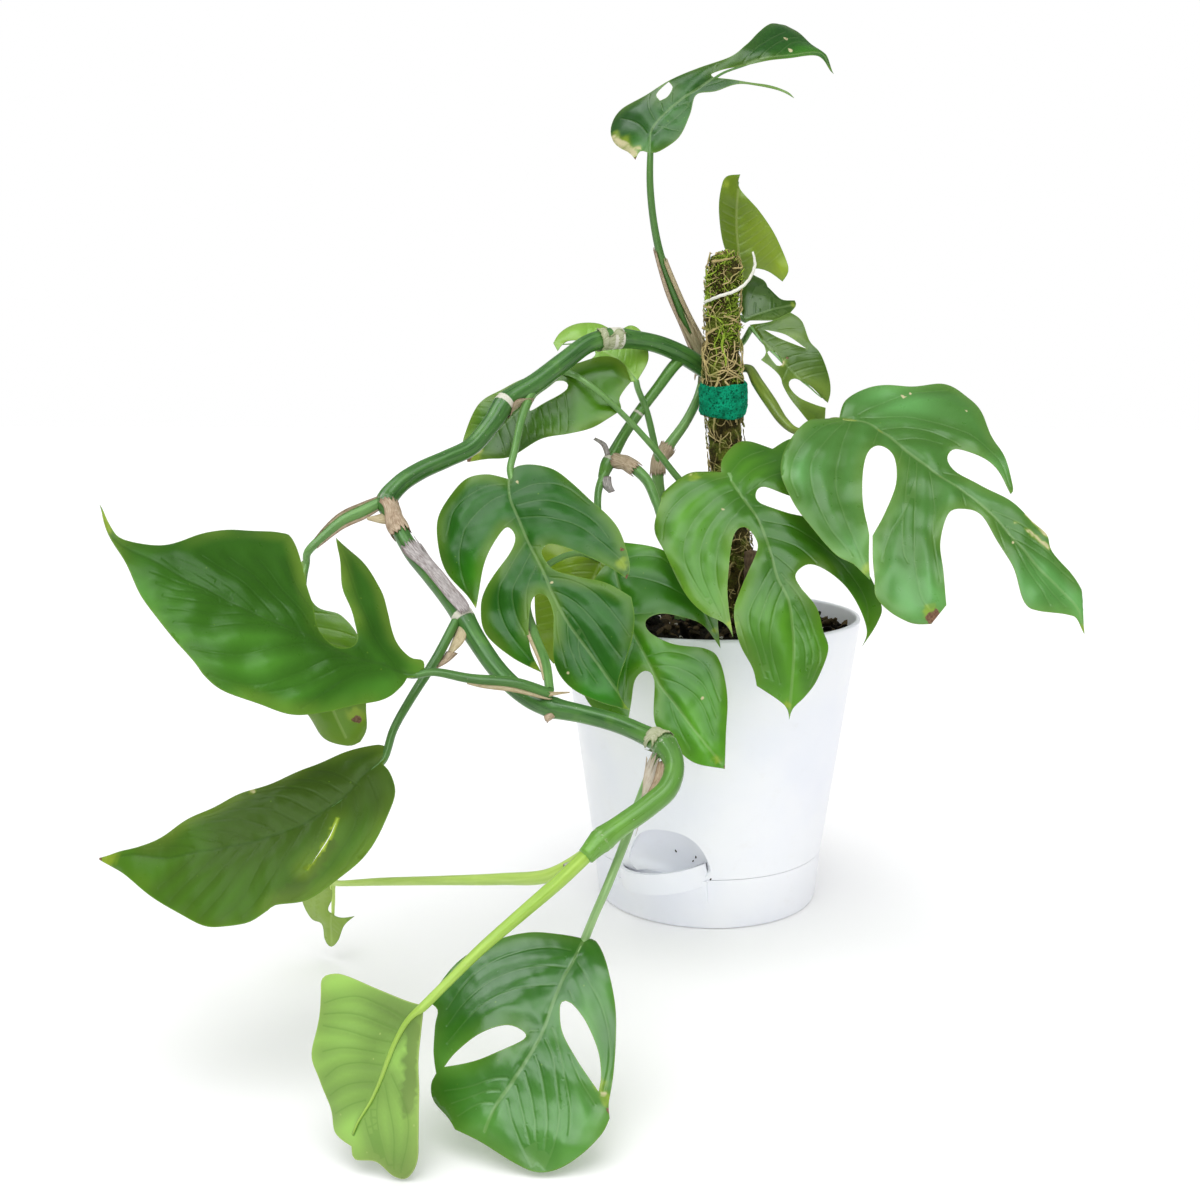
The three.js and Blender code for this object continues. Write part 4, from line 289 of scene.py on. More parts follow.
# How each leaf looks: its upper and lower colours, how yellow its margin is (glow), how strongly
# its veins show, and how it mirrors. Its zones of painted highlight, where light falls on it, are
# listed as (along, across, radius), and its blemishes and its painted shade and lit edges in the
# same way, with (along, across) of the far end too where they are streaks
LOOKS = {
    "leaf_far_left": dict(dark=0x2D5B0D, light=0x4D8927, under=0x86A865, glow=0.5, rib=0x35591F,
        shine=0.25, painted_light=[(88, 39, 11.2), (60, 46, 12), (34, 37, 9), (10, 16, 9), (99, 28, 8.2),
        (57, 29, 8.2), (43, -7, 6.7), (1, -1, 3.7)], yellow=[(128, 4, 3), (125, 7, 2.2)]),
    "leaf_hanging_left": dict(dark=0x49740C, light=0x68921E, under=0xA9C36B, glow=0.4,
        painted_light=[(35, 9, 5.9), (74, 1, 5.9)], brown=[(73, 7, 2.1)], yellow=[(71, 7, 4.2)]),
    # Painted light and shade: a lit edge along its slit, and the shadow on the lobe that lies under the blade
    # beside it
    "leaf_low_left": dict(dark=0x445F21, light=0x4D7B1E, under=0x86A865, glow=0.45, rib=0x33521F,
        shine=0.12, painted_light=[(94, 22, 9.9), (79, 38, 9.1), (106, 6, 6.8), (61, 43, 7.6), (30, 44, 9.9),
        (14, 37, 7.6), (76, 11, 4.6)], yellow=[(109, 2, 4.6), (84, 2, 1.5)], brown=[(113, -1, 1.1),
        (113.5, 0, 1.6)], beige=[(50, 0, 1.5), (51, 0, 1.1)], painted_lit_edge=[(22.4, 22.5, 0.44, 26.2, 28.4),
        (26.2, 28.4, 0.5, 31.2, 33.2), (31.2, 33.2, 0.39, 37.6, 37.8)], shade=[(37, 39.5, 2.5, 50, 47.5),
        (27, 31, 2.2, 36, 39)]),
    "leaf_front": dict(dark=0x2E6716, light=0x58973A, glow=0.15, gloss=0.24, shine=0.6,
        painted_light=[(60, 18, 9.6), (42, 27, 6.9), (65, -5, 6.2), (30, 12, 4.8), (54, -24, 4.8), (65, 25, 6.9),
        (16, 16, 4.1)], yellow=[(41, 28, 2.4), (44, 32, 2.4)], beige=[(43, 30, 1.4)],
        brown=[(47, 34, 0.9)]),
    # Painted shade: its veins are painted dark green for the shade in its creases, and its shade marks darken
    # a hole and a strip
    "leaf_new_front": dict(dark=0x6C9A2E, light=0x8FBA45, under=0x93BE59, glow=0.2, rib=0x5E8C30,
        vein=0.95, deep=0.74, painted_light=[(9, 29, 7.3), (27, 19, 8.6), (35, -10, 6.6), (45, 4, 6),
        (18, -2, 4.6)], shade=[(17, -4, 2.2), (7.8, -1, 1.8, 30.2, -12)]),
    "leaf_new_small": dict(dark=0x8FAE42, light=0xC4E27C, under=0xA5C46E),
    "leaf_behind_vine": dict(dark=0x335C0A, light=0x518A0D, glow=0.5, vein=0.12, painted_light=[(21, 21, 7.7),
        (-3, 23, 8.7), (45, -14, 5.8)], yellow=[(60, 0, 4.8)], brown=[(62, -1, 2.4)],
        beige=[(56, 0, 2.9)]),
    "leaf_new_top_left": dict(dark=0x84B83E, light=0xBEE17A, under=0x9ABF66, glow=0.4),
    "leaf_centre_left": dict(dark=0x20590A, light=0x378713, glow=0.4, shine=0.35, painted_light=[(34, -34, 5.1),
        (77, -25, 5.1), (104, -9, 6)], yellow=[(62, 26, 3.4), (84, -27, 2.6), (115, 0, 2.1),
        (47, -38, 1.7)], brown=[(56, 29, 1.3), (68, 25, 1.1), (118, -1, 0.9)], pale=[(4, 3, 1),
        (93, -16, 0.9), (55, -4, 0.7)]),
    "leaf_centre": dict(dark=0x33670A, light=0x5A9A1B, painted_light=[(20, -20, 10.4), (47, -22, 9.5),
        (1, 10, 6.9), (104, 2, 10.4), (74, 1, 6.9), (86, 20, 5.2), (81, 43, 5.2), (59, -19, 6.1)],
        yellow=[(-2, -13, 3), (72, -15, 2.6), (109, 0, 2.2)], beige=[(-4, -14, 1.7)],
        brown=[(113, 0, 0.7)], pale=[(19, -5, 0.7), (56, 14, 0.5)]),
    "leaf_over_rim": dict(dark=0x2E6B0A, light=0x589E15, glow=0.25, painted_light=[(96, -4, 10.6), (55, 0, 6.2),
        (3, 18, 7.1), (81, 9, 7.1)], yellow=[(54, 25, 1.8), (105, -1, 2.2)], pale=[(79, 6, 0.7)],
        brown=[(109, 1, 0.7)]),
    "leaf_shaded": dict(dark=0x7A9C1E, light=0xB0C63C, under=0x9AB56A),
    "leaf_right": dict(dark=0x437524, light=0x6AAD5B, glow=0.22, painted_light=[(7, -37, 5.1), (58, -51, 6),
        (90, -43, 8.6), (132, 4, 6), (66, 27, 4.3), (11, 25, 8.6), (113, 0, 6.8)], brown=[(96, -45, 3),
        (95, -48, 2.1), (27, -51, 0.7)], pale=[(11, 28, 1.3), (12, 32, 1), (35, 42, 0.9), (94, 4, 0.6)],
        yellow=[(63, -51, 3), (138, 1, 2.6), (93, -46, 3.4)], beige=[(88.4, 18.6, 1, 93, 18.8),
        (93, 18.8, 1.5, 100.7, 18.2), (87.4, 11.8, 0.7, 94.6, 13.5), (94.6, 13.5, 1.3, 105, 14.6)]),
    "leaf_top": dict(dark=0x1D4D0A, light=0x34750D, under=0x86A85A, painted_light=[(19, 10, 6.8), (83, 13, 6.8),
        (97, 18, 5.8), (-2, 5, 4.8)], yellow=[(-9, 20, 3.4), (-7, 13, 3.9)], beige=[(-6, 8, 2.9),
        (-6, 3, 2.9), (-3, 5, 1.9), (-10, 20, 2.6, -7, 10), (-7, 10, 2.2, -6, 3)], brown=[(-6, 0, 1.5),
        (89, 29, 0.5)], pale=[(89, 29, 1.2), (87, 21, 1.6)]),
    "leaf_behind_pole": dict(dark=0x5D780A, light=0x97B21C, under=0x9DB07E, glow=0.4, rib=0xB3BE7C,
        painted_light=[(23, -10, 6.9), (8, -17, 5.9)], yellow=[(48, 8, 2.5)]),
    "leaf_pole_upper": dict(dark=0x33570A, light=0x3C5F0D, under=0x8DA86E, painted_light=[(15, -1, 5)],
        yellow=[(28, 0, 2)]),
    "leaf_pole_lower": dict(dark=0x3E6111, light=0x738F34, under=0x9CAE88, painted_light=[(40, -4, 5.9),
        (49, -1, 3.9), (17, 9, 4.9)], beige=[(25, -5, 2.5)], brown=[(25, -1, 1)]),
}

# Stems: points are (x, y, z, radius)
VINE = [
    (6, 22, 62, 4), (5.5, 22, 139, 4.4), (5, 21.5, 200, 4.6), (5.3, 21.3, 236, 4.6), (4.8, 21.3, 253, 4.5),
    (1.5, 19.9, 262.5, 4.4), (-6.5, 14, 268, 4.6), (-15.5, 7, 273.5, 4.6), (-26.5, 0, 278, 4.4),
    (-36.5, -6, 280, 4.4), (-47.5, -14, 280.5, 4.9), (-58.5, -22, 278, 4.4), (-70, -32, 269, 4.5),
    (-81.5, -42, 259.5, 4.5), (-94.5, -52, 250, 4.8), (-100, -60, 240.5, 4.3), (-108, -68, 230.5, 4),
    (-117.5, -76, 225.5, 3.9), (-128, -84, 220.5, 4), (-135.5, -91, 215, 4.1), (-140, -97, 208, 4.3),
    (-136, -102, 202, 3.5), (-130.5, -108, 194, 3.5), (-125, -112, 187, 3.8), (-117.5, -117, 180, 4),
    (-109.5, -122, 172, 4.1), (-101.5, -128, 163.5, 4.3), (-94.5, -135, 155, 4), (-85.5, -142, 145, 3.8),
    (-77.5, -147, 138.5, 3.8), (-69, -152, 134, 3.7), (-61, -156, 132.5, 4), (-48, -162, 131.5, 3.6),
    (-34.5, -169, 130, 3.6), (-24, -177, 128, 3.7), (-16, -184, 126, 4.3), (-12, -191, 120.5, 3.7),
    (-14, -198, 114, 3.9), (-21, -203, 108.5, 3.9), (-30, -208, 103, 3.9), (-37, -212, 98.5, 4.1),
    (-42, -216, 94, 3.2),
]
# Where on VINE the nodes are: (index, half width of the scar, how pale it is)
VINE_NODES = [(10, 2.6, 1.0), (14, 0.9, 0.9), (20, 1.5, 0.5), (26, 1.6, 0.9), (31, 0.8, 0.3),
              (35, 1.2, 0.5), (40, 0.9, 0.5)]
SIDE_SHOOT = [(-14, 10, 272, 2.6), (-18.5, 6, 268.5, 2.9), (-27.5, 3, 256.5, 2.7), (-36.5, 0, 244.5, 2.7),
              (-44, -3, 233, 2.7), (-48.5, -6, 224.5, 3.2), (-51, -8, 220, 3.5), (-53.5, -10, 213, 2.4)]
BACK_SHOOT = [(5.5, 22, 246, 3), (8.5, 25, 262, 2.8), (11, 24.5, 280, 2.6), (10.5, 22.5, 298, 2)]
MIDDLE_STEM = [(-14, 14, 80, 3), (-15, 12, 139, 3), (-19.5, 6, 178, 2.6), (-25.5, 4, 204, 2.7),
               (-26.5, 5, 220, 3.2), (-21, 8, 229, 2.8), (-14.5, 13, 238, 2.5), (-10, 19, 246, 2.4),
               (-7, 25, 253, 2.4), (-5, 29, 260, 2.4)]
POLE = [(13.5, 8, 50, 9.6), (14.4, 8, 140, 9.6), (12.6, 8, 171, 9.4), (7.7, 6, 221, 9.4),
        (5.4, 5, 251, 9.4), (4.7, 4.5, 270, 9.7), (4.3, 4, 290, 8.8), (4.8, 3, 313, 8.7), (5, 3, 320, 7.2)]
AERIAL_ROOT = [(-4.3, -2.2, 298, 1), (2.5, -6.5, 300.5, 1), (10, -5.3, 303, 1.1), (16, -4, 307.5, 1),
               (19.5, -3.5, 315, 1), (18.5, -3, 321.5, 0.7)]
OLD_STEM = [(21.5, -7, 120, 4), (21.5, -7, 139, 4.2), (21, -7, 161, 4), (20, -7.5, 177, 3.4)]

# Pot, in millimetres
POT_HEIGHT = 145
RIM_RADIUS = 75
WALL = 2.5
JOINT_HEIGHT = 26
JOINT_RADIUS = 58.5
FOOT_RADIUS = 56
SOIL_HEIGHT = 138.5
FLOOR_HEIGHT = 29.5
WICK_RADIUS = 15.5
WICK_BOTTOM = 4.5
LIP_ANGLE = math.radians(23.5)
LIP_CENTRE = 41.5
LIP_RADIUS = 26
LIP_BOTTOM = 20.5
LIP_TOP = 30.8
LIP_TILT = math.radians(10)
NICHE_ANGLE = math.radians(18.5)
NICHE_WIDTH = 42
NICHE_HEIGHT = 24
NICHE_DEPTH = 10

# The space the solids take up
SPACE = np.array([list(corner) for corner in cad_box]) / MM

# Fineness
BLADE_STEP = 1.35
BLADE_HALF = 0.3
STEM_STEP = 1.2
VEIL_STEP = 0.8
POT_SIDES = 160


def unit(v):
    return v / np.maximum(np.linalg.norm(v, axis=-1, keepdims=True), 1e-12)


def colour(code):
    """A colour code as linear red, green, blue, alpha"""
    parts = [((code >> shift) & 255) / 255 for shift in (16, 8, 0)]
    return tuple(c / 12.92 if c <= 0.04045 else ((c + 0.055) / 1.055) ** 2.4 for c in parts) + (1.0,)


def wobble(places, size, seed, waves=7):
    """Smooth, irregular values from about -1 to 1 over places, with bumps about that size"""
    rand = np.random.RandomState(seed)
    places = np.asarray(places, float)
    total = np.zeros(len(places))
    for _ in range(waves):
        direction = unit(rand.normal(size=places.shape[1]))
        rate = 2 * math.pi / (size * rand.uniform(0.7, 1.6))
        total += np.sin(places @ direction * rate + rand.uniform(0, 2 * math.pi))
    return total / math.sqrt(waves) / 1.1


def sampled(at, even, table):
    """The columns of a table whose rows stand at even, read at other places"""
    return np.stack([np.interp(at, even, column) for column in table.T], -1)


# Pieces


class Form:
    """Gathers points, faces, finishes and fields, and makes them into one piece"""

    def __init__(self):
        self.points, self.faces, self.finishes = [], [], []
        self.fields = {"place": [], "marks": [], "veins": []}
        self.count = 0

    def add(self, points, faces, finish=0, **fields):
        points = np.asarray(points, float)
        finish = [finish] * len(faces) if np.isscalar(finish) else list(finish)
        self.points.append(points)
        self.faces += [tuple(int(k) + self.count for k in face) for face in faces]
        self.finishes += finish
        for name, kept in self.fields.items():
            given = fields.get(name)
            kept.append(np.zeros((len(points), 3)) if given is None else np.asarray(given, float))
        self.count += len(points)

    def mesh(self, name, sharp=None):
        mesh = bpy.data.meshes.new(name)
        mesh.from_pydata((np.vstack(self.points) * MM).tolist(), [], self.faces)
        for kind, values in self.fields.items():
            layer = mesh.attributes.new(kind, "FLOAT_VECTOR", "POINT")
            layer.data.foreach_set("vector", np.vstack(values).astype(np.float32).ravel())
        mesh.shade_smooth()
        mesh.polygons.foreach_set("material_index", np.array(self.finishes, np.int32))
        if sharp:
            mesh.set_sharp_from_angle(angle=math.radians(sharp))
        return mesh

    def piece(self, name, nodes, materials, sharp=None):
        return place_piece(name, self.mesh(name, sharp), nodes, materials)


def place_piece(name, mesh, nodes, materials):
    for material in materials:
        mesh.materials.append(material)
    made = bpy.data.objects.new(name, mesh)
    bpy.context.scene.collection.objects.link(made)
    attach(made, "root")
    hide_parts(*nodes)
    return made


# Routes and tubes


def smooth_route(points, step):
    """Points at even steps along a smooth curve through points, with all their columns"""
    points = np.array(points, float)
    padded = np.vstack([2 * points[0] - points[1], points, 2 * points[-1] - points[-2]])
    dense = []
    for k in range(len(points) - 1):
        p0, p1, p2, p3 = padded[k:k + 4]
        spans = ((p0, p1), (p1, p2), (p2, p3))
        d0, d1, d2 = (max(np.linalg.norm((b - a)[:3]) ** 0.5, 1e-4) for a, b in spans)
        m1 = ((p1 - p0) / d0 - (p2 - p0) / (d0 + d1) + (p2 - p1) / d1) * d1
        m2 = ((p2 - p1) / d1 - (p3 - p1) / (d1 + d2) + (p3 - p2) / d2) * d1
        t = np.linspace(0, 1, 16, endpoint=False)[:, None]
        dense.append((2 * t**3 - 3 * t**2 + 1) * p1 + (t**3 - 2 * t**2 + t) * m1
                     + (3 * t**2 - 2 * t**3) * p2 + (t**3 - t**2) * m2)
    dense = np.vstack(dense + [points[-1:]])
    width = 3 if points.shape[1] > 2 else 2
    lengths = np.concatenate([[0], np.cumsum(np.linalg.norm(np.diff(dense[:, :width], axis=0), axis=1))])
    count = max(2, int(round(lengths[-1] / step)) + 1)
    even = np.linspace(0, lengths[-1], count)
    return sampled(even, lengths, dense), even


def carried_frames(centres, start=(0.0, -1.0, 0.3)):
    """Unit vectors (along, side, up) at each centre, carried along without twist"""
    along = unit(np.gradient(centres, axis=0))
    side = np.zeros_like(along)
    current = np.array(start, float)
    for k, direction in enumerate(along):
        current = unit(current - current @ direction * direction)
        side[k] = current
    return along, side, np.cross(along, side)


def ring_faces(rings, sides, first=0):
    """The faces between rings of points that follow each other"""
    faces = []
    for i in range(rings - 1):
        for j in range(sides):
            a, b = first + i * sides + j, first + i * sides + (j + 1) % sides
            faces.append((a, b, b + sides, a + sides))
    return faces


def ball_faces(rows, sides):
    """The faces of a ball: one point below, rows - 1 rings, and one point above"""
    last = (rows - 1) * sides + 1
    faces = [(0, 1 + (j + 1) % sides, 1 + j) for j in range(sides)]
    faces += ring_faces(rows - 1, sides, 1)
    return faces + [(last, last - sides + j, last - sides + (j + 1) % sides) for j in range(sides)]


def tube(form, points, sides, step, finish=0, shape=None, marks=None):
    """A round stem. shape(along, angle) gives how much its radius grows, in mm, and marks(along)
    the three marks at each ring"""
    route, even = smooth_route(points, step)
    centres, radii = route[:, :3], route[:, 3]
    along, side, up = carried_frames(centres)
    angles = np.linspace(0, 2 * math.pi, sides, endpoint=False)
    ring_at, angle_at = np.meshgrid(even, angles, indexing="ij")
    radius = np.repeat(radii[:, None], sides, 1)
    if shape is not None:
        radius = radius + shape(ring_at, angle_at)
    out = side[:, None] * np.cos(angle_at)[..., None] + up[:, None] * np.sin(angle_at)[..., None]
    grid = centres[:, None] + out * radius[..., None]
    place = np.stack([radius * np.cos(angle_at), radius * np.sin(angle_at), ring_at], -1)
    values = np.zeros((len(even), 3)) if marks is None else np.asarray(marks(even), float)

    faces = ring_faces(len(even), sides)
    total = len(even) * sides
    faces += [(j, total, (j + 1) % sides) for j in range(sides)]
    last = total - sides
    faces += [(last + j, last + (j + 1) % sides, total + 1) for j in range(sides)]
    caps = [centres[0] - along[0] * radii[0] * 0.35, centres[-1] + along[-1] * radii[-1] * 0.35]
    form.add(np.vstack([grid.reshape(-1, 3), caps]), faces, finish,
             place=np.vstack([place.reshape(-1, 3), [(0, 0, even[0]), (0, 0, even[-1])]]),
             marks=np.vstack([np.repeat(values, sides, 0), values[[0, -1]]]))


def steady(*marks):
    """The same marks all along a stem"""
    return lambda at: np.tile(marks, (len(at), 1))


def grid_faces(rows, columns, first=0, flip=False):
    faces = []
    for i in range(rows - 1):
        for j in range(columns - 1):
            a = first + i * columns + j
            face = (a, a + 1, a + columns + 1, a + columns)
            faces.append(face[::-1] if flip else face)
    return faces


def sheet(form, grid, thickness, finish=0, tone=0.0):
    """A thin closed sheet over a grid of points (rows, columns, 3)"""
    rows, columns = grid.shape[:2]
    across = np.gradient(grid, axis=1)
    down = np.gradient(grid, axis=0)
    normal = unit(np.cross(down, across))
    u = np.concatenate([[0], np.cumsum(np.linalg.norm(np.diff(grid[:, columns // 2], axis=0), axis=1))])
    v = np.concatenate([[0], np.cumsum(np.linalg.norm(np.diff(grid[rows // 2], axis=0), axis=1))])
    u, v = np.meshgrid(u, v, indexing="ij")
    edge = np.minimum(np.minimum(v, v.max() - v), np.minimum(u, u.max() - u))
    thin = thickness * np.clip(0.35 + edge / 2, 0, 1)[..., None] / 2
    points = np.vstack([(grid + normal * thin).reshape(-1, 3), (grid - normal * thin).reshape(-1, 3)])
    total = rows * columns
    faces = grid_faces(rows, columns, 0, True) + grid_faces(rows, columns, total)
    border = [(0, j) for j in range(columns)] + [(i, columns - 1) for i in range(1, rows)]
    border += [(rows - 1, j) for j in range(columns - 2, -1, -1)] + [(i, 0) for i in range(rows - 2, 0, -1)]
    for k, (i, j) in enumerate(border):
        i2, j2 = border[(k + 1) % len(border)]
        a, b = i * columns + j, i2 * columns + j2
        faces.append((a, b, b + total, a + total))
    place = np.stack([v, np.zeros_like(v), u], -1).reshape(-1, 3)
    marks = np.stack([np.full_like(u, tone), edge, np.zeros_like(u)], -1).reshape(-1, 3)
    form.add(points, faces, finish, place=np.vstack([place, place]), marks=np.vstack([marks, marks]))


# Blades


def smooth_outline(points, step):
    """A closed outline through the points, smooth except at the sharp ones"""
    count = len(points)
    result = []
    for i in range(count):
        b, c = (np.array(points[(i + k) % count][:2], float) for k in (0, 1))
        sharp_b, sharp_c = (len(points[(i + k) % count]) > 2 for k in (0, 1))
        a = b if sharp_b else np.array(points[i - 1][:2], float)
        d = c if sharp_c else np.array(points[(i + 2) % count][:2], float)
        pieces = max(1, int(round(np.linalg.norm(c - b) / step)))
        t = (np.arange(pieces) / pieces)[:, None]
        result.append(b * (2 * t**3 - 3 * t**2 + 1) + c * (3 * t**2 - 2 * t**3)
                      + (c - a) * 0.5 * (t**3 - 2 * t**2 + t) + (d - b) * 0.5 * (t**3 - t**2))
    return np.vstack(result)


def inside(places, loops):
    """Whether each place lies within the loops, counting holes as outside"""
    hit = np.zeros(len(places), bool)
    for loop in loops:
        a, b = loop, np.roll(loop, -1, 0)
        for (x1, y1), (x2, y2) in zip(a, b):
            crosses = (y1 > places[:, 1]) != (y2 > places[:, 1])
            if y1 != y2:
                hit ^= crosses & (places[:, 0] < (x2 - x1) * (places[:, 1] - y1) / (y2 - y1) + x1)
    return hit


def gap_to(places, starts, ends):
    """Distance from each place to the nearest of the lines"""
    best = np.full(len(places), 1e9)
    for a, b in zip(starts, ends):
        run = b - a
        share = np.clip((places - a) @ run / max(run @ run, 1e-9), 0, 1)[:, None]
        best = np.minimum(best, np.linalg.norm(places - a - share * run, axis=1))
    return best


def gap_to_line(places, line):
    return gap_to(places, line[:-1], line[1:])


def blade_frame(leaf):
    base, tip, face = (np.array(leaf[k], float) for k in ("base", "tip", "face"))
    length = np.linalg.norm(tip - base)
    along = (tip - base) / length
    face = unit(face - face @ along * along)
    return base, along, np.cross(face, along), face, length


def blade_height(leaf, length, places):
    hump = 4 * places[:, 0] / length * (1 - places[:, 0] / length)
    d = places[:, 1] - leaf["bow"] * hump
    return leaf["arch"] * hump - leaf["fold"] * (np.sqrt(d * d + 9) - 3) - leaf["curl"] * (d / 30) ** 2


def blade_points(leaf, places, lift=0.0):
    base, along, across, face, length = blade_frame(leaf)
    height = blade_height(leaf, length, places) + lift
    return base + places[:, :1] * along + places[:, 1:] * across + height[:, None] * face


def grown_veins(leaf, length):
    """The midrib and side veins of a leaf whose veins aren't listed"""
    station = np.linspace(0, 0.96, 9) * length
    midrib = np.stack([station, leaf["bow"] * 4 * station / length * (1 - station / length)], 1)
    veins = [midrib]
    for side in (-1, 1):
        for share in (0.04, 0.2, 0.36, 0.52, 0.68):
            start = np.array([share * length, np.interp(share * length, midrib[:, 0], midrib[:, 1])])
            reach = np.linspace(0, 0.5, 5)[:, None] * length
            bend = np.concatenate([reach * 0.35 + reach**2 / length * 0.9, side * reach], 1)
            veins.append(start + bend)
    return veins


def with_between(veins, length):
    """The veins, with a finer one between each two neighbours on the same side of the midrib"""
    full = [smooth_route(v, 1.0)[0] for v in veins]
    rib = full[0]
    sides = {1: [], -1: []}
    for vein in full[1:]:
        end = vein[-1]
        side = 1 if end[1] > np.interp(end[0], rib[:, 0], rib[:, 1]) else -1
        sides[side].append(vein)
    finer = []
    for group in sides.values():
        group.sort(key=lambda vein: vein[0][0])
        for first, second in zip(group, group[1:]):
            if second[0][0] - first[0][0] > length * 0.07:
                share = np.linspace(0, 1, 12)
                pair = [sampled(share, np.linspace(0, 1, len(v)), v) for v in (first, second)]
                finer.append((pair[0] + pair[1]) / 2)
    return [np.asarray(v, float) for v in veins] + finer


# What each kind of blemish, painted shade or painted light adds to the marks of a blade: (mark, strength)
BLEMISHES_AND_PAINTED_LIGHT = {
    "yellow": (("yellow", 1),),
    "brown": (("brown", 1),),
    "pale": (("pale", 1),),
    # painted light: a lit, yellow-green edge along a slit
    "painted_lit_edge": (("yellow", 2),),
    "beige": (("yellow", 1), ("pale", 0.7)),
    # painted shade: dark streaks in creases, in a hole and under an overlapping lobe
    "shade": (("shade", 1),),
}


def blade(form, name, leaf):
    """Adds a leaf's blade to form, and gives its midrib, its length, and its flat places with
    how far each is lifted"""
    length = blade_frame(leaf)[-1]
    outline = smooth_outline(leaf["outline"], BLADE_STEP)
    holes = [smooth_outline(hole, BLADE_STEP) for hole in leaf.get("holes", [])]
    loops = [outline] + holes
    starts = np.vstack(loops)
    ends = np.vstack([np.roll(loop, -1, 0) for loop in loops])
    veins = with_between(leaf.get("veins") or grown_veins(leaf, length), length)
    veins = [smooth_route(v, BLADE_STEP)[0] for v in veins]

    points, edges = [], []
    for loop in loops:
        first = len(points)
        points += list(loop)
        edges += [(first + k, first + (k + 1) % len(loop)) for k in range(len(loop))]
    kept_veins = []
    for number, vein in enumerate(veins):
        keep = inside(vein, loops) & (gap_to(vein, starts, ends) > (0.7 if number else 0.4) * BLADE_STEP)
        runs = np.split(np.arange(len(vein)), np.where(np.diff(keep.astype(int)) != 0)[0] + 1)
        for run in runs:
            if len(run) < 3 or not keep[run[0]]:
                continue
            if number and kept_veins:
                away = gap_to_line(vein[run], kept_veins[0][1])
                run = run[away > 0.8 * BLADE_STEP]
                if len(run) < 3:
                    continue
            first = len(points)
            points += list(vein[run])
            edges += [(first + k, first + k + 1) for k in range(len(run) - 1)]
            kept_veins.append((number, vein[run]))
            if number:
                break
    low, high = outline.min(0), outline.max(0)
    lattice = []
    for row, y in enumerate(np.arange(low[1], high[1], BLADE_STEP * 0.866)):
        x = np.arange(low[0] + (row % 2) * BLADE_STEP / 2, high[0], BLADE_STEP)
        lattice.append(np.stack([x, np.full_like(x, y)], 1))
    lattice = np.vstack(lattice)
    lattice = lattice[inside(lattice, loops)]
    lattice = lattice[gap_to(lattice, starts, ends) > 0.6 * BLADE_STEP]
    for _, vein in kept_veins:
        lattice = lattice[gap_to_line(lattice, vein) > 0.6 * BLADE_STEP]
    points += list(lattice)
    made = delaunay_2d_cdt([tuple(p) for p in points], edges, [], 0, 1e-4)
    flat = np.array([tuple(p) for p in made[0]])
    triangles = np.array(made[2])
    centre = flat[triangles].mean(1)
    triangles = triangles[inside(centre, loops)]
    corner = flat[triangles]
    first, second = corner[:, 1] - corner[:, 0], corner[:, 2] - corner[:, 0]
    area = first[:, 0] * second[:, 1] - first[:, 1] * second[:, 0]
    triangles = np.where((area < 0)[:, None], triangles[:, ::-1], triangles)
    used = np.unique(triangles)
    renumber = np.full(len(flat), -1)
    renumber[used] = np.arange(len(used))
    flat, triangles = flat[used], renumber[triangles]

    edge = gap_to(flat, starts, ends)
    rib = gap_to_line(flat, veins[0])
    side_gap = np.full(len(flat), 30.0)
    for number, vein in kept_veins:
        if number:
            side_gap = np.minimum(side_gap, gap_to_line(flat, vein))
    seed = sum(map(ord, name))
    open_blade = np.clip(edge / 6, 0, 1)
    pillow = 0.6 * (1 - np.exp(-(side_gap / 3.8) ** 2)) * open_blade - 0.4
    groove = 0.45 * np.exp(-(rib / 1.1) ** 2) + 0.5 * np.exp(-(rib / 5) ** 2)
    ripple = 0.5 * wobble(flat, 22, seed) + 0.06 * wobble(flat, 6, seed + 1)
    margin = 0.9 * wobble(flat, 24, seed + 2) * np.exp(-edge / 6)
    lift = pillow - groove + ripple * open_blade + margin
    half = BLADE_HALF * (0.45 + 0.55 * np.clip(edge / 1.5, 0, 1))
    ridge = 0.35 * np.exp(-(side_gap / 0.8) ** 2) * open_blade
    top = blade_points(leaf, flat, lift + half)
    under = blade_points(leaf, flat, lift - half - ridge)
    inwards = np.clip(top, SPACE[0] + 0.95, SPACE[1] - 0.95) - top
    top, under = top + inwards, under + inwards
    count = len(flat)
    faces = [tuple(t) for t in triangles] + [(a + count, c + count, b + count) for a, b, c in triangles]
    finishes = [0] * len(triangles) + [1] * len(triangles)
    directed = {(int(t[k]), int(t[(k + 1) % 3])) for t in triangles for k in range(3)}
    for a, b in directed:
        if (b, a) not in directed:
            faces.append((a, a + count, b + count, b))
            finishes.append(0)

    look = LOOKS[name]
    marks = {mark: np.zeros(count) for mark in ("yellow", "brown", "pale", "shade")}
    for kind, parts in BLEMISHES_AND_PAINTED_LIGHT.items():
        for s, t, radius, *end in look.get(kind, ()):
            start = np.array([(s, t)], float)
            away = gap_to(flat, start, np.array([end], float) if end else start) / radius
            share = np.clip(1.35 - away + 0.25 * wobble(flat, radius, seed + 3), 0, 1)
            for mark, strength in parts:
                marks[mark] = np.maximum(marks[mark], share * strength)
    # Painted highlight: lighter zones where light falls on the blade, less the painted shade marks
    painted_light = np.zeros(count)
    for s, t, radius in look.get("painted_light", ()):
        painted_light += np.exp(-(np.linalg.norm(flat - (s, t), axis=1) / radius / 1.5) ** 2)
    painted_light = 1 - np.exp(-painted_light) - marks["shade"]
    place = np.stack([flat[:, 0], flat[:, 1], edge], 1)
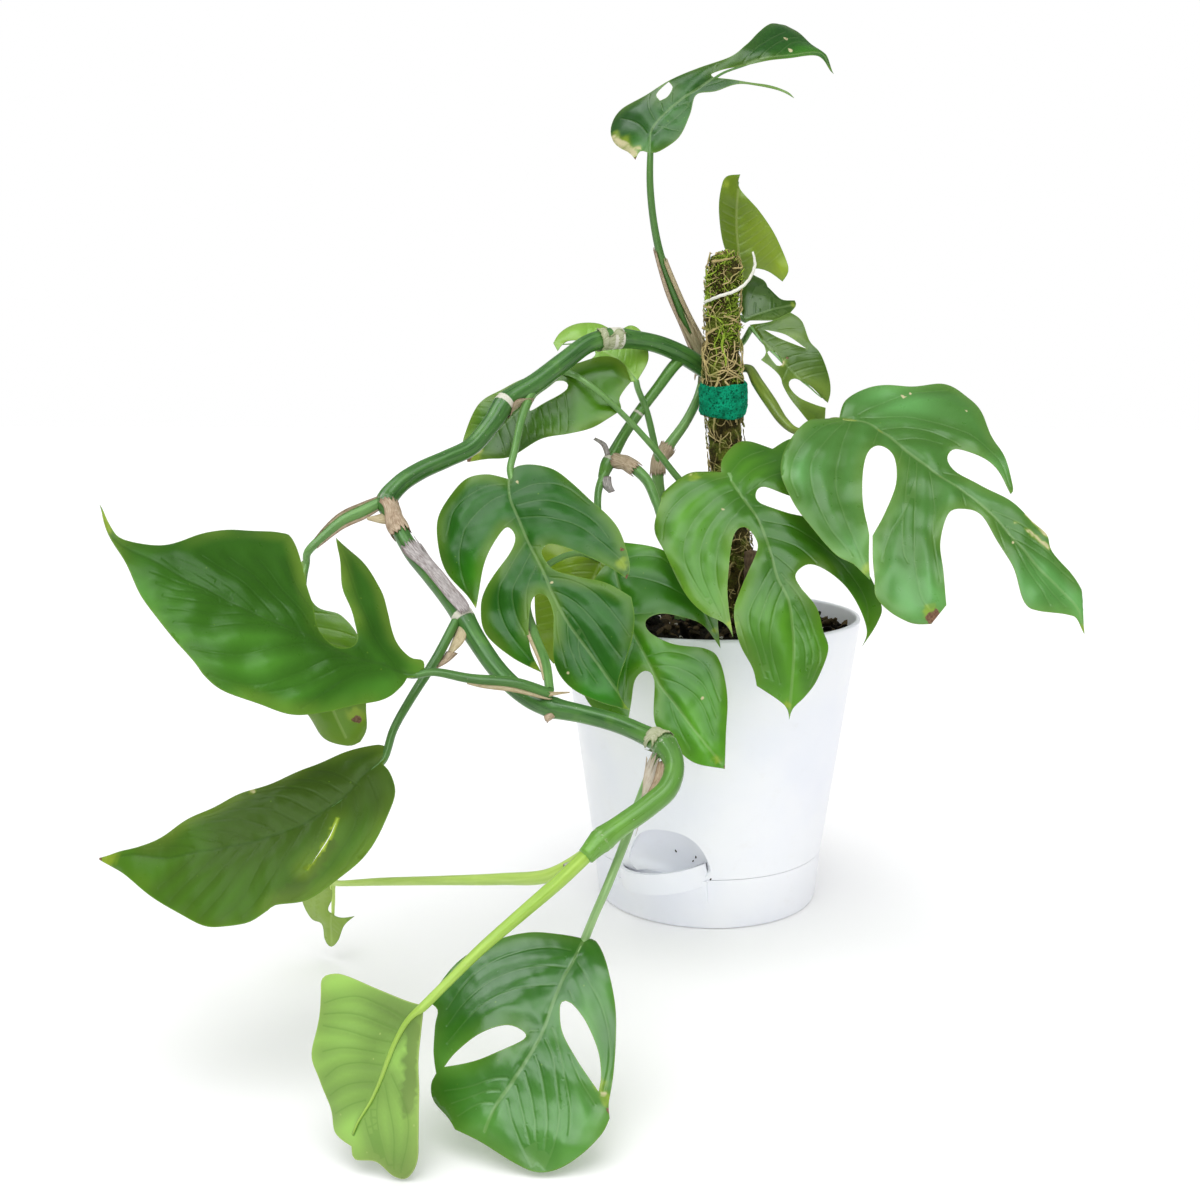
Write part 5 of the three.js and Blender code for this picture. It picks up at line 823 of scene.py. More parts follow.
    # The veins field carries the gap to the side veins, the gap to the midrib, and the painted light and
    # shade
    vein_field = np.stack([side_gap, rib, painted_light], 1)
    mark_field = np.stack([marks["yellow"], marks["brown"], marks["pale"]], 1)
    form.add(np.vstack([top, under]), faces, finishes, place=np.vstack([place] * 2),
             veins=np.vstack([vein_field] * 2), marks=np.vstack([mark_field] * 2))
    return veins[0], length, (flat, lift)


# The stalk's radius under the blade, by how far along the blade it is
MIDRIB_RADII = ((0.012, 1.5), (0.06, 1.15), (0.1, 1.0), (0.16, 0.9), (0.23, 0.8), (0.3, 0.75), (0.4, 0.7),
                (0.5, 0.6), (0.6, 0.5), (0.7, 0.45), (0.78, 0.38), (0.86, 0.3), (0.93, 0.2))


def midrib_route(leaf, midrib, length, levels):
    """The stalk's way on, under the blade, along its midrib"""
    route = []
    flat, lifts = levels
    for share, radius in MIDRIB_RADII:
        s = share * length
        k = np.argmin(np.abs(midrib[:, 0] - s))
        at = midrib[k] if share > 0.05 else np.array([s, midrib[0][1]])
        near = np.argsort(np.linalg.norm(flat - at, axis=1))[:4]
        lift = lifts[near].min() - BLADE_HALF - radius * 0.45
        point = blade_points(leaf, at[None], lift)[0]
        route.append((*point, radius))
    return route


# Finishes


def node(tree, kind, feeds, **settings):
    """A shader node with these settings, its inputs fed by values or by other nodes"""
    made = tree.nodes.new("ShaderNode" + kind)
    for name, value in settings.items():
        setattr(made, name, value)
    for socket, value in feeds.items():
        if isinstance(value, Value):
            tree.links.new(value.socket, made.inputs[socket])
        else:
            made.inputs[socket].default_value = value
    return made


def fed(tree, kind, feeds, output=0, **settings):
    """What such a node gives at one of its outputs"""
    return Value(tree, node(tree, kind, feeds, **settings).outputs[output])


class Value:
    """A socket of a shader node, with sums, products and patterns of it as further nodes"""

    def __init__(self, tree, socket):
        self.tree, self.socket = tree, socket

    def maths(self, operation, other):
        return fed(self.tree, "Math", {0: self, 1: other}, operation=operation)

    def __add__(self, other):
        return self.maths("ADD", other)

    def __sub__(self, other):
        return self.maths("SUBTRACT", other)

    def __mul__(self, other):
        return self.maths("MULTIPLY", other)

    def most(self, other):
        return self.maths("MAXIMUM", other)

    def fade(self, start, end):
        """Smoothly from 0, at start, to 1, at end"""
        feeds = {"Value": self, "From Min": start, "From Max": end}
        return fed(self.tree, "MapRange", feeds, interpolation_type="SMOOTHSTEP")

    def blend(self, a, b):
        """From a to b, by this value as a share"""
        return fed(self.tree, "Mix", {0: self, 6: a, 7: b}, 2, data_type="RGBA")

    def split(self):
        parts = node(self.tree, "SeparateXYZ", {0: self}).outputs
        return [Value(self.tree, part) for part in parts]

    def stretch(self, x, y, z):
        return fed(self.tree, "VectorMath", {0: self, 1: (x, y, z)}, operation="MULTIPLY")

    def noise(self, scale, detail=2.0, rough=0.5, distortion=0.0):
        feeds = {"Vector": self, "Scale": scale, "Detail": detail, "Roughness": rough}
        return fed(self.tree, "TexNoise", {**feeds, "Distortion": distortion})

    def cells(self, scale):
        return fed(self.tree, "TexVoronoi", {"Vector": self, "Scale": scale})


def field(tree, name):
    return fed(tree, "Attribute", {}, "Vector", attribute_name=name)


def ground(tree):
    """The place on the surface, in millimetres"""
    return fed(tree, "NewGeometry", {}, "Position").stretch(1000, 1000, 1000)


def pattern(name, colours, numbers, build):
    """A node group with these inputs, which gives Colour, Roughness and Height"""
    tree = bpy.data.node_groups.new(name, "ShaderNodeTree")
    new_socket = tree.interface.new_socket
    for socket in colours:
        new_socket(socket, in_out="INPUT", socket_type="NodeSocketColor")
    for socket, value in numbers.items():
        new_socket(socket, in_out="INPUT", socket_type="NodeSocketFloat").default_value = value
    for socket, kind in (("Colour", "Color"), ("Roughness", "Float"), ("Height", "Float")):
        new_socket(socket, in_out="OUTPUT", socket_type="NodeSocket" + kind)
    given = {socket.name: Value(tree, socket) for socket in tree.nodes.new("NodeGroupInput").outputs}
    out = tree.nodes.new("NodeGroupOutput")
    for socket, value in zip(out.inputs, build(tree, given)):
        tree.links.new(value.socket, socket)
    return tree


def finish(name, group, inputs, relief=0.3, through=0.0, shine=0.5):
    """A material that wears a pattern. relief is the height of its bumps in millimetres, through
    the share of light that passes, and shine how strongly it mirrors"""
    material = bpy.data.materials.new(name)
    material.use_nodes = True
    tree = material.node_tree
    tree.nodes.clear()
    worn = tree.nodes.new("ShaderNodeGroup")
    worn.node_tree = group
    for socket, value in inputs.items():
        worn.inputs[socket].default_value = colour(value) if isinstance(value, int) else value
    hue, rough, height = (Value(tree, socket) for socket in worn.outputs)
    bump = fed(tree, "Bump", {"Strength": 1.0, "Distance": relief * MM, "Height": height})
    feeds = {"Base Color": hue, "Roughness": rough, "Normal": bump, "Specular IOR Level": shine}
    surface = fed(tree, "BsdfPrincipled", feeds)
    if through:
        thin = fed(tree, "BsdfTranslucent", {"Color": hue, "Normal": bump})
        surface = fed(tree, "MixShader", {0: through, 1: surface, 2: thin})
    node(tree, "OutputMaterial", {"Surface": surface})
    return material


def leaf_skin(tree, given):
    """Lamina with its veins, margin, blemishes and soft puckers. The third veins field is painted light and
    shade: how much lighter a zone is painted
    """
    place = field(tree, "place")
    edge = place.split()[2]
    gap, rib, painted_light = field(tree, "veins").split()
    yellow, brown, pale = field(tree, "marks").split()
    flat = place.stretch(1, 1, 0)
    broad = flat.noise(0.022)
    fine = flat.noise(1.1, 2.0, 0.6)
    ragged = flat.noise(0.16, 3.0, 0.6) - 0.5
    # Painted light and shade: each cell between the side veins is painted lighter in its middle and darker at
    # its veins, as light falls on the puckered blade
    between = gap.fade(0.3, 6.5)
    tone = painted_light * (between * 0.55 + 0.7) + between * 0.16
    tone = tone + (broad - 0.5) * 0.35
    tone = tone + (ragged * 0.05 + (fine - 0.5) * 0.08)
    lamina = tone.blend(given["Dark"], given["Light"])
    near_edge = edge.fade(7.0, 0.0) * broad.fade(0.36, 0.62)
    lamina = (near_edge * given["Margin glow"]).blend(lamina, given["Margin"])
    side_line = gap.fade(0.4, 0.08) * (given["Vein strength"] * 0.35)
    rib_line = rib.fade(0.9, 0.3) * given["Vein strength"]
    lamina = side_line.most(rib_line).blend(lamina, given["Vein"])
    lamina = (edge.fade(0.5, 0.1) * 0.55).blend(lamina, given["Rim"])
    yellowed = (yellow + ragged * 0.5).fade(0.1, 1.1)
    lamina = (yellowed * 0.6).blend(lamina, colour(0xA2B836))
    lamina = yellow.fade(1.1, 1.5).blend(lamina, colour(0xAECB4E))
    bleached = (pale + ragged * 0.5).fade(0.35, 0.75)
    lamina = bleached.blend(lamina, colour(0xCFC79A))
    browned = (brown + (fine - 0.5) * 0.5).fade(0.4, 0.6)
    lamina = browned.blend(lamina, fine.fade(0.3, 0.7).blend(colour(0x5B3A24), colour(0x8B6B4E)))
    specks = flat.cells(0.13).fade(0.06, 0.035)
    lamina = (specks * 0.45).blend(lamina, given["Rim"])
    rough = given["Gloss"] + ragged * 0.16
    rough = rough + browned.most(bleached) * 0.3
    pucker = place.stretch(1.0, 0.6, 0).noise(0.07, 2.0, 0.4, 0.5)
    crease = place.stretch(1.0, 0.5, 0).noise(0.5, 2.0, 0.5, 0.8)
    height = pucker * 0.35 + (crease * 0.05 + fine * 0.03)
    height = height + gap.fade(0.0, 0.9) * 0.3 + rib.fade(0.0, 1.1) * 0.3
    return lamina, rough, height + browned * -0.4


def stalk_skin(tree, given):
    """Green stems: long streaks, pale dots, and scars at the nodes. The marks are how near a
    scar is, how young the stem is there, and how dry"""
    place = field(tree, "place")
    scar, young, dry = field(tree, "marks").split()
    streak = place.stretch(1, 1, 0.07).noise(0.7)
    cloud = place.noise(0.12)
    fine = place.noise(1.4)
    green = streak.fade(0.1, 0.9).blend(given["Dark"], given["Light"])
    green = (young * (cloud * 0.5 + 0.75)).blend(green, given["Young"])
    green = (cloud.fade(0.5, 0.72) * 0.15).blend(green, given["Young"])
    dots = place.cells(0.42).fade(0.1, 0.05)
    green = (dots * 0.45).blend(green, given["Scar"])
    husk = streak.fade(0.35, 0.65).blend(colour(0x8C7458), colour(0xC9B898))
    green = (dry + (streak - 0.5) * 0.6).fade(0.35, 0.65).blend(green, husk)
    scarred = (scar + (fine - 0.5) * 0.35).fade(0.45, 0.75)
    green = scarred.blend(green, given["Scar"])
    rough = given["Gloss"] + (streak - 0.5) * 0.2
    rough = rough + scarred.most(dry) * 0.25
    return green, rough, streak * 0.5 + fine * 0.15


def husk_skin(tree, given):
    """Dry, papery sheaths with long fibres"""
    place = field(tree, "place")
    tone, edge, _ = field(tree, "marks").split()
    fibre = place.stretch(1, 1, 0.12).noise(2.4, 4.0, 0.65)
    stain = place.noise(0.3, 3.0, 0.6)
    paper = fibre.fade(0.3, 0.7).blend(given["Dark"], given["Light"])
    stained = (stain + tone * 0.25).fade(0.52, 0.85)
    paper = (stained * 0.75).blend(paper, given["Stain"])
    paper = (edge.fade(0.9, 0.1) * 0.6).blend(paper, given["Stain"])
    return paper, fibre * 0.3 + 0.6, fibre + stain * 0.8


def moss_skin(tree, given):
    """Packed moss and its loose strands: marks gives each strand's tone and freshness"""
    place = ground(tree)
    tone, fresh, _ = field(tree, "marks").split()
    clump = place.noise(0.28, 4.0, 0.65)
    fine = place.noise(1.9, 3.0, 0.7)
    shade = clump * 0.9 + (fine - 0.5) * 0.8
    base = (shade + tone * 0.5).fade(0.35, 0.95).blend(given["Dark"], given["Light"])
    mossy = fine.fade(0.3, 0.7).blend(colour(0x4F6414), colour(0x98A840))
    base = (place.noise(0.11, 3.0, 0.6).fade(0.47, 0.66) * 0.7).blend(base, mossy)
    green = fine.fade(0.3, 0.7).blend(colour(0x6E8E1E), colour(0xB8D250))
    base = fresh.fade(0.25, 0.75).blend(base, green)
    return base, fine * 0.25 + 0.75, clump + fine


def sponge_skin(tree, given):
    """Foam with open pits, painted dark as shade"""
    place = ground(tree)
    cloud = place.noise(0.2, 3.0)
    pit_depth_and_shade = place.cells(0.55).fade(0.38, 0.12).most(place.cells(1.3).fade(0.34, 0.1))
    body = cloud.fade(0.3, 0.7).blend(given["Dark"], given["Light"])
    # Painted shade: the pits are painted dark, as shade falls into them
    body = (pit_depth_and_shade * 0.75).blend(body, given["Pit shade"])
    return body, cloud * 0.2 + 0.75, pit_depth_and_shade * -1.0 + place.noise(2.6) * 0.4


def soil_skin(tree, given):
    """Crumbly potting soil: marks gives each crumb's tone and whether it is a white one"""
    place = ground(tree)
    tone, white, _ = field(tree, "marks").split()
    clod = place.noise(0.35, 4.0, 0.7)
    grit = place.noise(1.8, 3.0, 0.7)
    dirt = (grit * 0.8 + tone * 0.5).fade(0.35, 0.9).blend(given["Dark"], given["Light"])
    flecks = place.cells(0.45).fade(0.09, 0.05)
    dirt = (flecks * 0.6).blend(dirt, colour(0x9B8A70))
    stone = grit.fade(0.3, 0.7).blend(colour(0xB9B4A8), colour(0xEDEAE2))
    dirt = white.fade(0.3, 0.7).blend(dirt, stone)
    return dirt, clod * 0.2 + 0.8, clod * 1.2 + grit


def plastic_skin(tree, given):
    """Smooth moulded plastic with a fine texture, faint scuffs, a little dust and painted shade towards its
    foot
    """
    place = ground(tree)
    scuff = place.stretch(0.5, 0.5, 3.0).noise(0.35, 4.0, 0.65)
    dust = place.noise(0.11, 4.0, 0.7).fade(0.55, 0.8)
    body = place.noise(0.018, 3.0).fade(0.35, 0.65).blend(given["Dark"], given["Light"])
    body = (dust * 0.1).blend(body, colour(0xCFC8BC))
    # Painted shade: greyer and bluer over the lowest 30 mm, towards the floor
    low = place.split()[2].fade(30.0, 0.0)
    body = (low * 0.12).blend(body, colour(0xC4C6CC))
    rough = given["Gloss"] + scuff.fade(0.55, 0.8) * 0.14 + dust * 0.1
    return body, rough, place.noise(1.6) * 0.5 + scuff.fade(0.6, 0.7) * -0.25


LEAF_SKIN = pattern("leaf_skin", ("Dark", "Light", "Margin", "Vein", "Rim"),
                    {"Margin glow": 0.3, "Vein strength": 0.5, "Gloss": 0.36}, leaf_skin)
STALK_SKIN = pattern("stalk_skin", ("Dark", "Light", "Young", "Scar"), {"Gloss": 0.4}, stalk_skin)
HUSK_SKIN = pattern("husk_skin", ("Dark", "Light", "Stain"), {}, husk_skin)
MOSS_SKIN = pattern("moss_skin", ("Dark", "Light"), {}, moss_skin)
SPONGE_SKIN = pattern("sponge_skin", ("Dark", "Light", "Pit shade"), {}, sponge_skin)
SOIL_SKIN = pattern("soil_skin", ("Dark", "Light"), {}, soil_skin)
PLASTIC_SKIN = pattern("plastic_skin", ("Dark", "Light"), {"Gloss": 0.33}, plastic_skin)

NEW_LEAVES = ("leaf_new_front", "leaf_new_small", "leaf_new_top_left", "leaf_hanging_left", "leaf_shaded")
LEAF_RELIEF, LEAF_THROUGH = 0.3, 0.12


def leaf_finishes(name):
    look = LOOKS[name]
    under = look.get("under", 0x8DB06E)
    glow = look.get("glow", 0.3)
    upper = finish(name + "_upper", LEAF_SKIN, {
        "Dark": look["dark"], "Light": look["light"], "Margin": 0x86A33A, "Rim": 0x6F9630,
        "Vein": look.get("rib", 0xB9D27E if name in NEW_LEAVES else 0x9DBB78), "Margin glow": glow,
        "Vein strength": look.get("vein", 0.26), "Gloss": look.get("gloss", 0.3),
    }, LEAF_RELIEF, LEAF_THROUGH, look.get("shine", 0.5))
    lower = finish(name + "_lower", LEAF_SKIN, {
        "Dark": lighter(under, look.get("deep", 0.9)), "Light": lighter(under, 1.12),
        "Margin": 0xB2C466, "Rim": 0xB6C877, "Vein": look.get("rib", 0xC4D49A), "Margin glow": glow,
        "Vein strength": look.get("vein", 0.6), "Gloss": 0.5,
    }, LEAF_RELIEF, LEAF_THROUGH, 0.4)
    return upper, lower


def lighter(code, share):
    parts = [min(255, int(((code >> shift) & 255) * share)) for shift in (16, 8, 0)]
    return parts[0] << 16 | parts[1] << 8 | parts[2]


def stem_finish(name, dark, light, young, relief=0.15, through=0.05, scar=0xCBBFA4, gloss=0.32):
    codes = {"Dark": dark, "Light": light, "Young": young, "Scar": scar, "Gloss": gloss}
    return finish(name, STALK_SKIN, codes, relief, through)


def dry_finish(name, dark, light, stain, relief, through=0.0):
    return finish(name, HUSK_SKIN, {"Dark": dark, "Light": light, "Stain": stain}, relief, through)


stalk_green = stem_finish("stalk_green", 0x4B7C3A, 0x74A456, 0x98C274)
stalk_dark = stem_finish("stalk_dark", 0x355E26, 0x54853A, 0x74A052)
stalk_olive = stem_finish("stalk_olive", 0x526A1C, 0x7E9638, 0x90A84A)
stalk_pale = stem_finish("stalk_pale", 0x6F9A5C, 0x9CC07C, 0xA9CC8A)
stalk_bright = stem_finish("stalk_bright", 0xA6CC4E, 0xCBE67A, 0xD2EC84, 0.1, 0.1)
stalk_young = stem_finish("stalk_young", 0x8CB63A, 0xB2D65C, 0xC0E06C, 0.15, 0.08)
vine_green = stem_finish("vine_green", 0x2B5422, 0x51843A, 0x7CB440, 0.06, 0.0, 0xD6D3C2, 0.3)
root_white = stem_finish("pale_root", 0xDCDACB, 0xF5F3EC, 0xD0D4B4, 0.1, 0.0, 0xA89878, 0.5)
husk = dry_finish("dry_husk", 0xA98F72, 0xDCCAB0, 0x85674E, 0.25, 0.12)
husk_grey = dry_finish("grey_husk", 0x8A807E, 0xD4CECC, 0x74635E, 0.2, 0.08)
husk_light = dry_finish("light_husk", 0xD9CBB4, 0xF2EBDE, 0xC2AE94, 0.15, 0.2)
husk_cream = dry_finish("cream_husk", 0xC2B087, 0xDDD0AE, 0xA08A62, 0.2, 0.15)
ring_pale = dry_finish("pale_ring", 0x97A074, 0xC8C8AC, 0x8C9A60, 0.1, 0.05)
bark = dry_finish("old_bark", 0x6E5238, 0xA68C6A, 0x3E2E20, 0.6)
moss = finish("packed_moss", MOSS_SKIN, {"Dark": 0x221E0A, "Light": 0x7A6E34}, 0.8, shine=0.2)
strand = finish("moss_strand", MOSS_SKIN, {"Dark": 0x4C4016, "Light": 0xCDB982}, 0.2, shine=0.2)
foam = finish("tie_foam", SPONGE_SKIN, {"Dark": 0x067E5A, "Light": 0x0FA277, "Pit shade": 0x044531}, 0.7,
              shine=0.12)
earth = finish("potting_soil", SOIL_SKIN, {"Dark": 0x0C0904, "Light": 0x5C4E36}, 0.8, shine=0.2)
white_plastic = finish("pot_plastic", PLASTIC_SKIN, {"Dark": 0xF3F5FD, "Light": 0xFAFBFF, "Gloss": 0.3},
                       0.02)


# Leaves with their stalks

STALKS = {"leaf_new_front": stalk_young, "leaf_new_small": stalk_bright, "leaf_far_left": stalk_dark,
          "leaf_low_left": stalk_dark, "leaf_top": stalk_dark, "leaf_right": stalk_olive,
          "leaf_front": stalk_pale}


def ribbed(at, angle):
    return 0.1 * np.cos(3 * angle + 0.6) + 0.05 * np.cos(7 * angle)


def stalk_marks(at):
    return np.stack([np.zeros_like(at), at / at[-1] * 0.4, np.zeros_like(at)], 1)


for name, leaf in LEAVES.items():
    form = Form()
    route = leaf["petiole"] + midrib_route(leaf, *blade(form, name, leaf))
    tube(form, route, 12, 1.6, finish=2, shape=ribbed, marks=stalk_marks)
    form.piece(name + "_fine", [name],
               [*leaf_finishes(name), STALKS.get(name, stalk_green)], sharp=60)


# Stems

def along_of(points, index):
    """How far along its route a stem's point lies"""
    route, even = smooth_route(points, STEM_STEP)
    return even[np.argmin(np.linalg.norm(route[:, :3] - np.array(points[index][:3]), axis=1))]


node_places = [(along_of(VINE, index), half, pale) for index, half, pale in VINE_NODES]


def vine_shape(at, angle):
    """Swollen at the nodes, with a raised scar, and faintly ribbed"""
    swell = 0.06 * np.cos(5 * angle + at * 0.02) + 0.05 * np.cos(9 * angle)
    for spot, half, _ in node_places:
        away = at - spot
        swell = swell + 0.35 * np.exp(-(away / (half + 2.5)) ** 2)
        swell = swell + 0.22 * np.exp(-((np.abs(away) - half) / 0.45) ** 2)
    return swell


def scar_near(at, spot, half):
    """1 on a scar round a spot, and less beside it"""
    return np.exp(-np.clip(np.abs(at - spot) - half, 0, None) ** 2 / 0.5)


# From where on, and over what length, the vine turns young, in mm along it
YOUNG_FROM, YOUNG_OVER = 560, 130


def vine_marks(at):
    scar = np.zeros_like(at)
    for spot, half, pale in node_places:
        scar = np.maximum(scar, pale * scar_near(at, spot, half))
    young = np.clip((at - YOUNG_FROM) / YOUNG_OVER, 0, 1) ** 1.2
    return np.stack([scar, young, np.zeros_like(at)], 1)


def shoot_marks(nodes, young=0.25):
    """The marks of a shoot with its nodes at shares of its length: (share, half width)"""
    def marks(at):
        scar = np.zeros_like(at)
        for share, half in nodes:
            scar = np.maximum(scar, scar_near(at, share * at[-1], half))
        return np.stack([scar * 0.8, np.full_like(at, young), np.zeros_like(at)], 1)
    return marks


def bark_shape(at, angle):
    rings = 0.3 * np.cos(4 * angle + at * 0.3) + 0.2 * np.sin(at * 1.1)
    return rings + 0.15 * np.cos(11 * angle - at * 0.8)


def root_shape(at, angle):
    return 0.08 * np.sin(at * 1.7 + angle) - 0.1


form = Form()
tube(form, VINE, 24, STEM_STEP, shape=vine_shape, marks=vine_marks)
tube(form, SIDE_SHOOT, 14, STEM_STEP, marks=shoot_marks([(0.5, 0.6), (0.86, 0.8)]))
tube(form, BACK_SHOOT, 14, 1.4, marks=shoot_marks([(0.45, 0.6)]))
form.piece("vine_fine", ["vine"], [vine_green])

form = Form()
tube(form, MIDDLE_STEM, 14, STEM_STEP, marks=shoot_marks([(0.76, 1.2)], 0.3))
form.piece("middle_stem_fine", ["middle_stem"], [stalk_green])

form = Form()
tube(form, OLD_STEM, 20, 1.0, shape=bark_shape)
form.piece("old_stem_fine", ["old_stem"], [bark])

form = Form()
tube(form, [(*p[:3], p[3] * 0.85) for p in AERIAL_ROOT], 10, 0.6, shape=root_shape)
form.piece("aerial_root_fine", ["aerial_root"], [root_white])


# Dry sheaths

def wrap(form, points, start, end, turn, spread, lift, finish, flare, jag, seed, tone=0.0,
         facing=(0.0, -1.0, 0.3), taper=0.0):
    """A papery sheath round part of a stem, from start to end of its route as shares, spread
    degrees wide about turn degrees round it from facing, standing lift off it, and flared at
    its ends by flare. jag is how ragged its ends are. It narrows towards its end by the share
    taper"""
    route, even = smooth_route(points, 1.0)
    _, side, up = carried_frames(route[:, :3], facing)
    rows = max(8, int((end - start) * even[-1] / 0.8))
    columns = max(8, int(math.radians(spread) * 5 / 0.6))
    u = np.linspace(0, 1, rows)[:, None]
    v = np.linspace(-0.5, 0.5, columns)[None]
    ragged = jag * wobble(np.stack([np.linspace(-0.5, 0.5, columns) * spread / 8] * 2, 1), 3, seed)[None]
    at = (start + (end - start) * u) * even[-1] + ragged * (2 * u - 1) * np.ones_like(v)
    at = np.clip(at, 0, even[-1])
    angle = np.radians(turn + v * spread * (1 - taper * u) * (0.9 + 0.2 * np.sin(u * 5 + seed)))
    centre, side_at, up_at = (sampled(at, even, table) for table in (route, side, up))
    swell = lift + flare[0] * (1 - u) ** 3 + flare[1] * u**3
    flat = np.stack([(u * 9 + 0 * v).ravel(), (v * 6 + 0 * u).ravel()], 1)
    swell = swell + 0.22 * wobble(flat, 4, seed + 5).reshape(at.shape) + 0.6 * np.abs(2 * v) ** 6
    out = side_at * np.cos(angle)[..., None] + up_at * np.sin(angle)[..., None]
    sheet(form, centre[..., :3] + out * (centre[..., 3] + swell)[..., None], 0.32, finish, tone)


def veil(form, left, right, seed, finish=0, bulge=0.8):
    """A thin membrane between two edges, each a list of points"""
    first, second = (smooth_route(edge, VEIL_STEP)[0] for edge in (left, right))
    rows = max(len(first), len(second), 6)
    u = np.linspace(0, 1, rows)
    first, second = (sampled(u, np.linspace(0, 1, len(edge)), edge) for edge in (first, second))
    columns = max(5, int(np.linalg.norm(second - first, axis=1).max() / VEIL_STEP) + 2)
    v = np.linspace(0, 1, columns)[None, :, None]
    grid = first[:, None] * (1 - v) + second[:, None] * v
    normal = unit(np.cross(np.gradient(grid, axis=0), np.gradient(grid, axis=1)) + 1e-9)
    wave = wobble(np.stack([np.repeat(u * 8, columns), np.tile(v.ravel() * 4, rows)], 1), 4, seed)
    rise = bulge * np.sin(math.pi * v[..., 0]) * (1 + 0.5 * wave.reshape(rows, columns))
    sheet(form, grid + normal * rise[..., None], 0.3, finish)


def beside(points, start, end, direction, near, far):
    """Two edges along a stem between start and end, as shares: one on it and one standing off
    it in a direction, from near to far millimetres at its middle"""
    route, even = smooth_route(points, 1.0)
    share = np.linspace(start, end, 8)
    at = sampled(share * even[-1], even, route)
    direction = unit(np.array(direction, float))
    belly = np.sin(math.pi * np.linspace(0.02, 0.98, len(share)))[:, None] ** 0.7
    inner = at[:, :3] + direction * (at[:, 3:] * 0.75)
    outer = at[:, :3] + direction * (at[:, 3:] + near + (far - near) * belly)
    return [tuple(p) for p in inner], [tuple(p) for p in outer]


form = Form()
wrap(form, VINE, 0.672, 0.738, 0, 150, 0.3, finish=1, flare=(0.1, 0.9), jag=2.5, seed=3, tone=0.2,
     facing=(0.85, -0.3, 0.5), taper=0.7)
wrap(form, VINE, 0.636, 0.661, 0, 300, 0.4, finish=0, flare=(0.8, 0.3), jag=1.2, seed=4, tone=0.35)
wrap(form, VINE, 0.494, 0.520, 0, 170, 0.35, finish=0, flare=(1.6, 0.2), jag=0.8, seed=5,
     facing=(-0.6, -0.3, 0.8))
wrap(form, VINE, 0.414, 0.421, 0, 300, 0.25, finish=3, flare=(0.0, 0.5), jag=0.3, seed=6)
wrap(form, VINE, 0.403, 0.416, -25, 200, 0.12, finish=3, flare=(0.0, 0.1), jag=1.6, seed=13)
wrap(form, VINE, 0.899, 0.909, 0, 320, 0.25, finish=3, flare=(0.1, 0.6), jag=0.5, seed=14)
veil(form, [(-101, -130, 165), (-104, -135, 156), (-106, -141, 149)],
     [(-98, -135, 161), (-99, -138, 155), (-106, -142, 148)], finish=2, seed=7)
veil(form, [(-106, -140, 151), (-108, -143, 147.5), (-109, -145, 145)],
     [(-101.5, -139, 150), (-105, -143, 147), (-109, -146, 145)], finish=0, seed=8)
veil(form, [(-138, -101, 205), (-142, -102, 203), (-148, -102, 201.5)],
     [(-136.5, -105, 199), (-140, -104, 199), (-147, -103, 200.5)], finish=2, seed=9)
veil(form, [(-61, -160, 131.5), (-63.5, -162, 130.5), (-63, -162, 128.6)],
     [(-59, -160, 130), (-60.5, -161, 129), (-62.5, -161.5, 127.8)], finish=0, seed=10)
veil(form, [(-15, -188, 123), (-16, -192, 117), (-21, -197, 110), (-27, -200, 106.5)],
     [(-18, -188.5, 121), (-20, -192.5, 114), (-25, -198, 107), (-29, -200.5, 104.5)], seed=11, bulge=1.2)
veil(form, [(-33, -211, 98), (-37, -209, 93.5), (-45, -206, 89.5), (-50, -204, 86)],
     [(-37, -215, 97), (-42, -213, 92), (-47, -209, 87), (-51, -205, 85)], finish=1, seed=12)
form.piece("vine_sheaths", ["vine"], [husk, husk_grey, husk_cream, ring_pale])

form = Form()
top_stalk = LEAVES["leaf_top"]["petiole"]
wrap(form, top_stalk, 0.05, 0.66, 62, 80, 0.35, finish=0, flare=(0.9, 0.0), jag=1.5, seed=21)
wrap(form, top_stalk, 0.03, 0.72, -62, 70, 0.35, finish=1, flare=(1.0, 0.0), jag=1.5, seed=22, tone=0.3)
wrap(form, top_stalk, 0.02, 0.34, 15, 110, 0.45, finish=0, flare=(0.8, 0.0), jag=6, seed=23, tone=0.2)
form.piece("leaf_top_sheath", ["leaf_top"], [husk_cream, husk])

form = Form()
hanging = LEAVES["leaf_hanging_left"]["petiole"]
for direction, seed in (((-0.3, -0.4, 0.9), 31), ((0.3, -0.4, -0.9), 32)):
    inner, outer = beside(hanging, 0.0, 0.86, direction, 0.2, 1.3)
    veil(form, inner, outer, bulge=0.3, seed=seed)
form.piece("leaf_hanging_left_sheath", ["leaf_hanging_left"], [husk])

form = Form()
far_left = LEAVES["leaf_far_left"]["petiole"]
inner, outer = beside(far_left, 0.0, 0.72, (0.1, -0.35, -0.95), 0.2, 1.7)
veil(form, inner, outer, bulge=0.3, seed=41)
veil(form, [(-62, -159, 139.5), (-58, -160, 139.8), (-53.5, -160.5, 140)],
     [(-62, -159.5, 137.6), (-58, -160.5, 138.8), (-53.7, -160.7, 139.6)], bulge=0.3, seed=42)
form.piece("leaf_far_left_sheath", ["leaf_far_left"], [husk_cream])

form = Form()
front = LEAVES["leaf_front"]["petiole"]
wrap(form, front, 0.04, 0.42, -50, 190, 0.5, finish=0, flare=(1.8, 0.1), jag=5, seed=51, taper=0.6)
form.piece("leaf_front_sheath", ["leaf_front"], [husk_light])

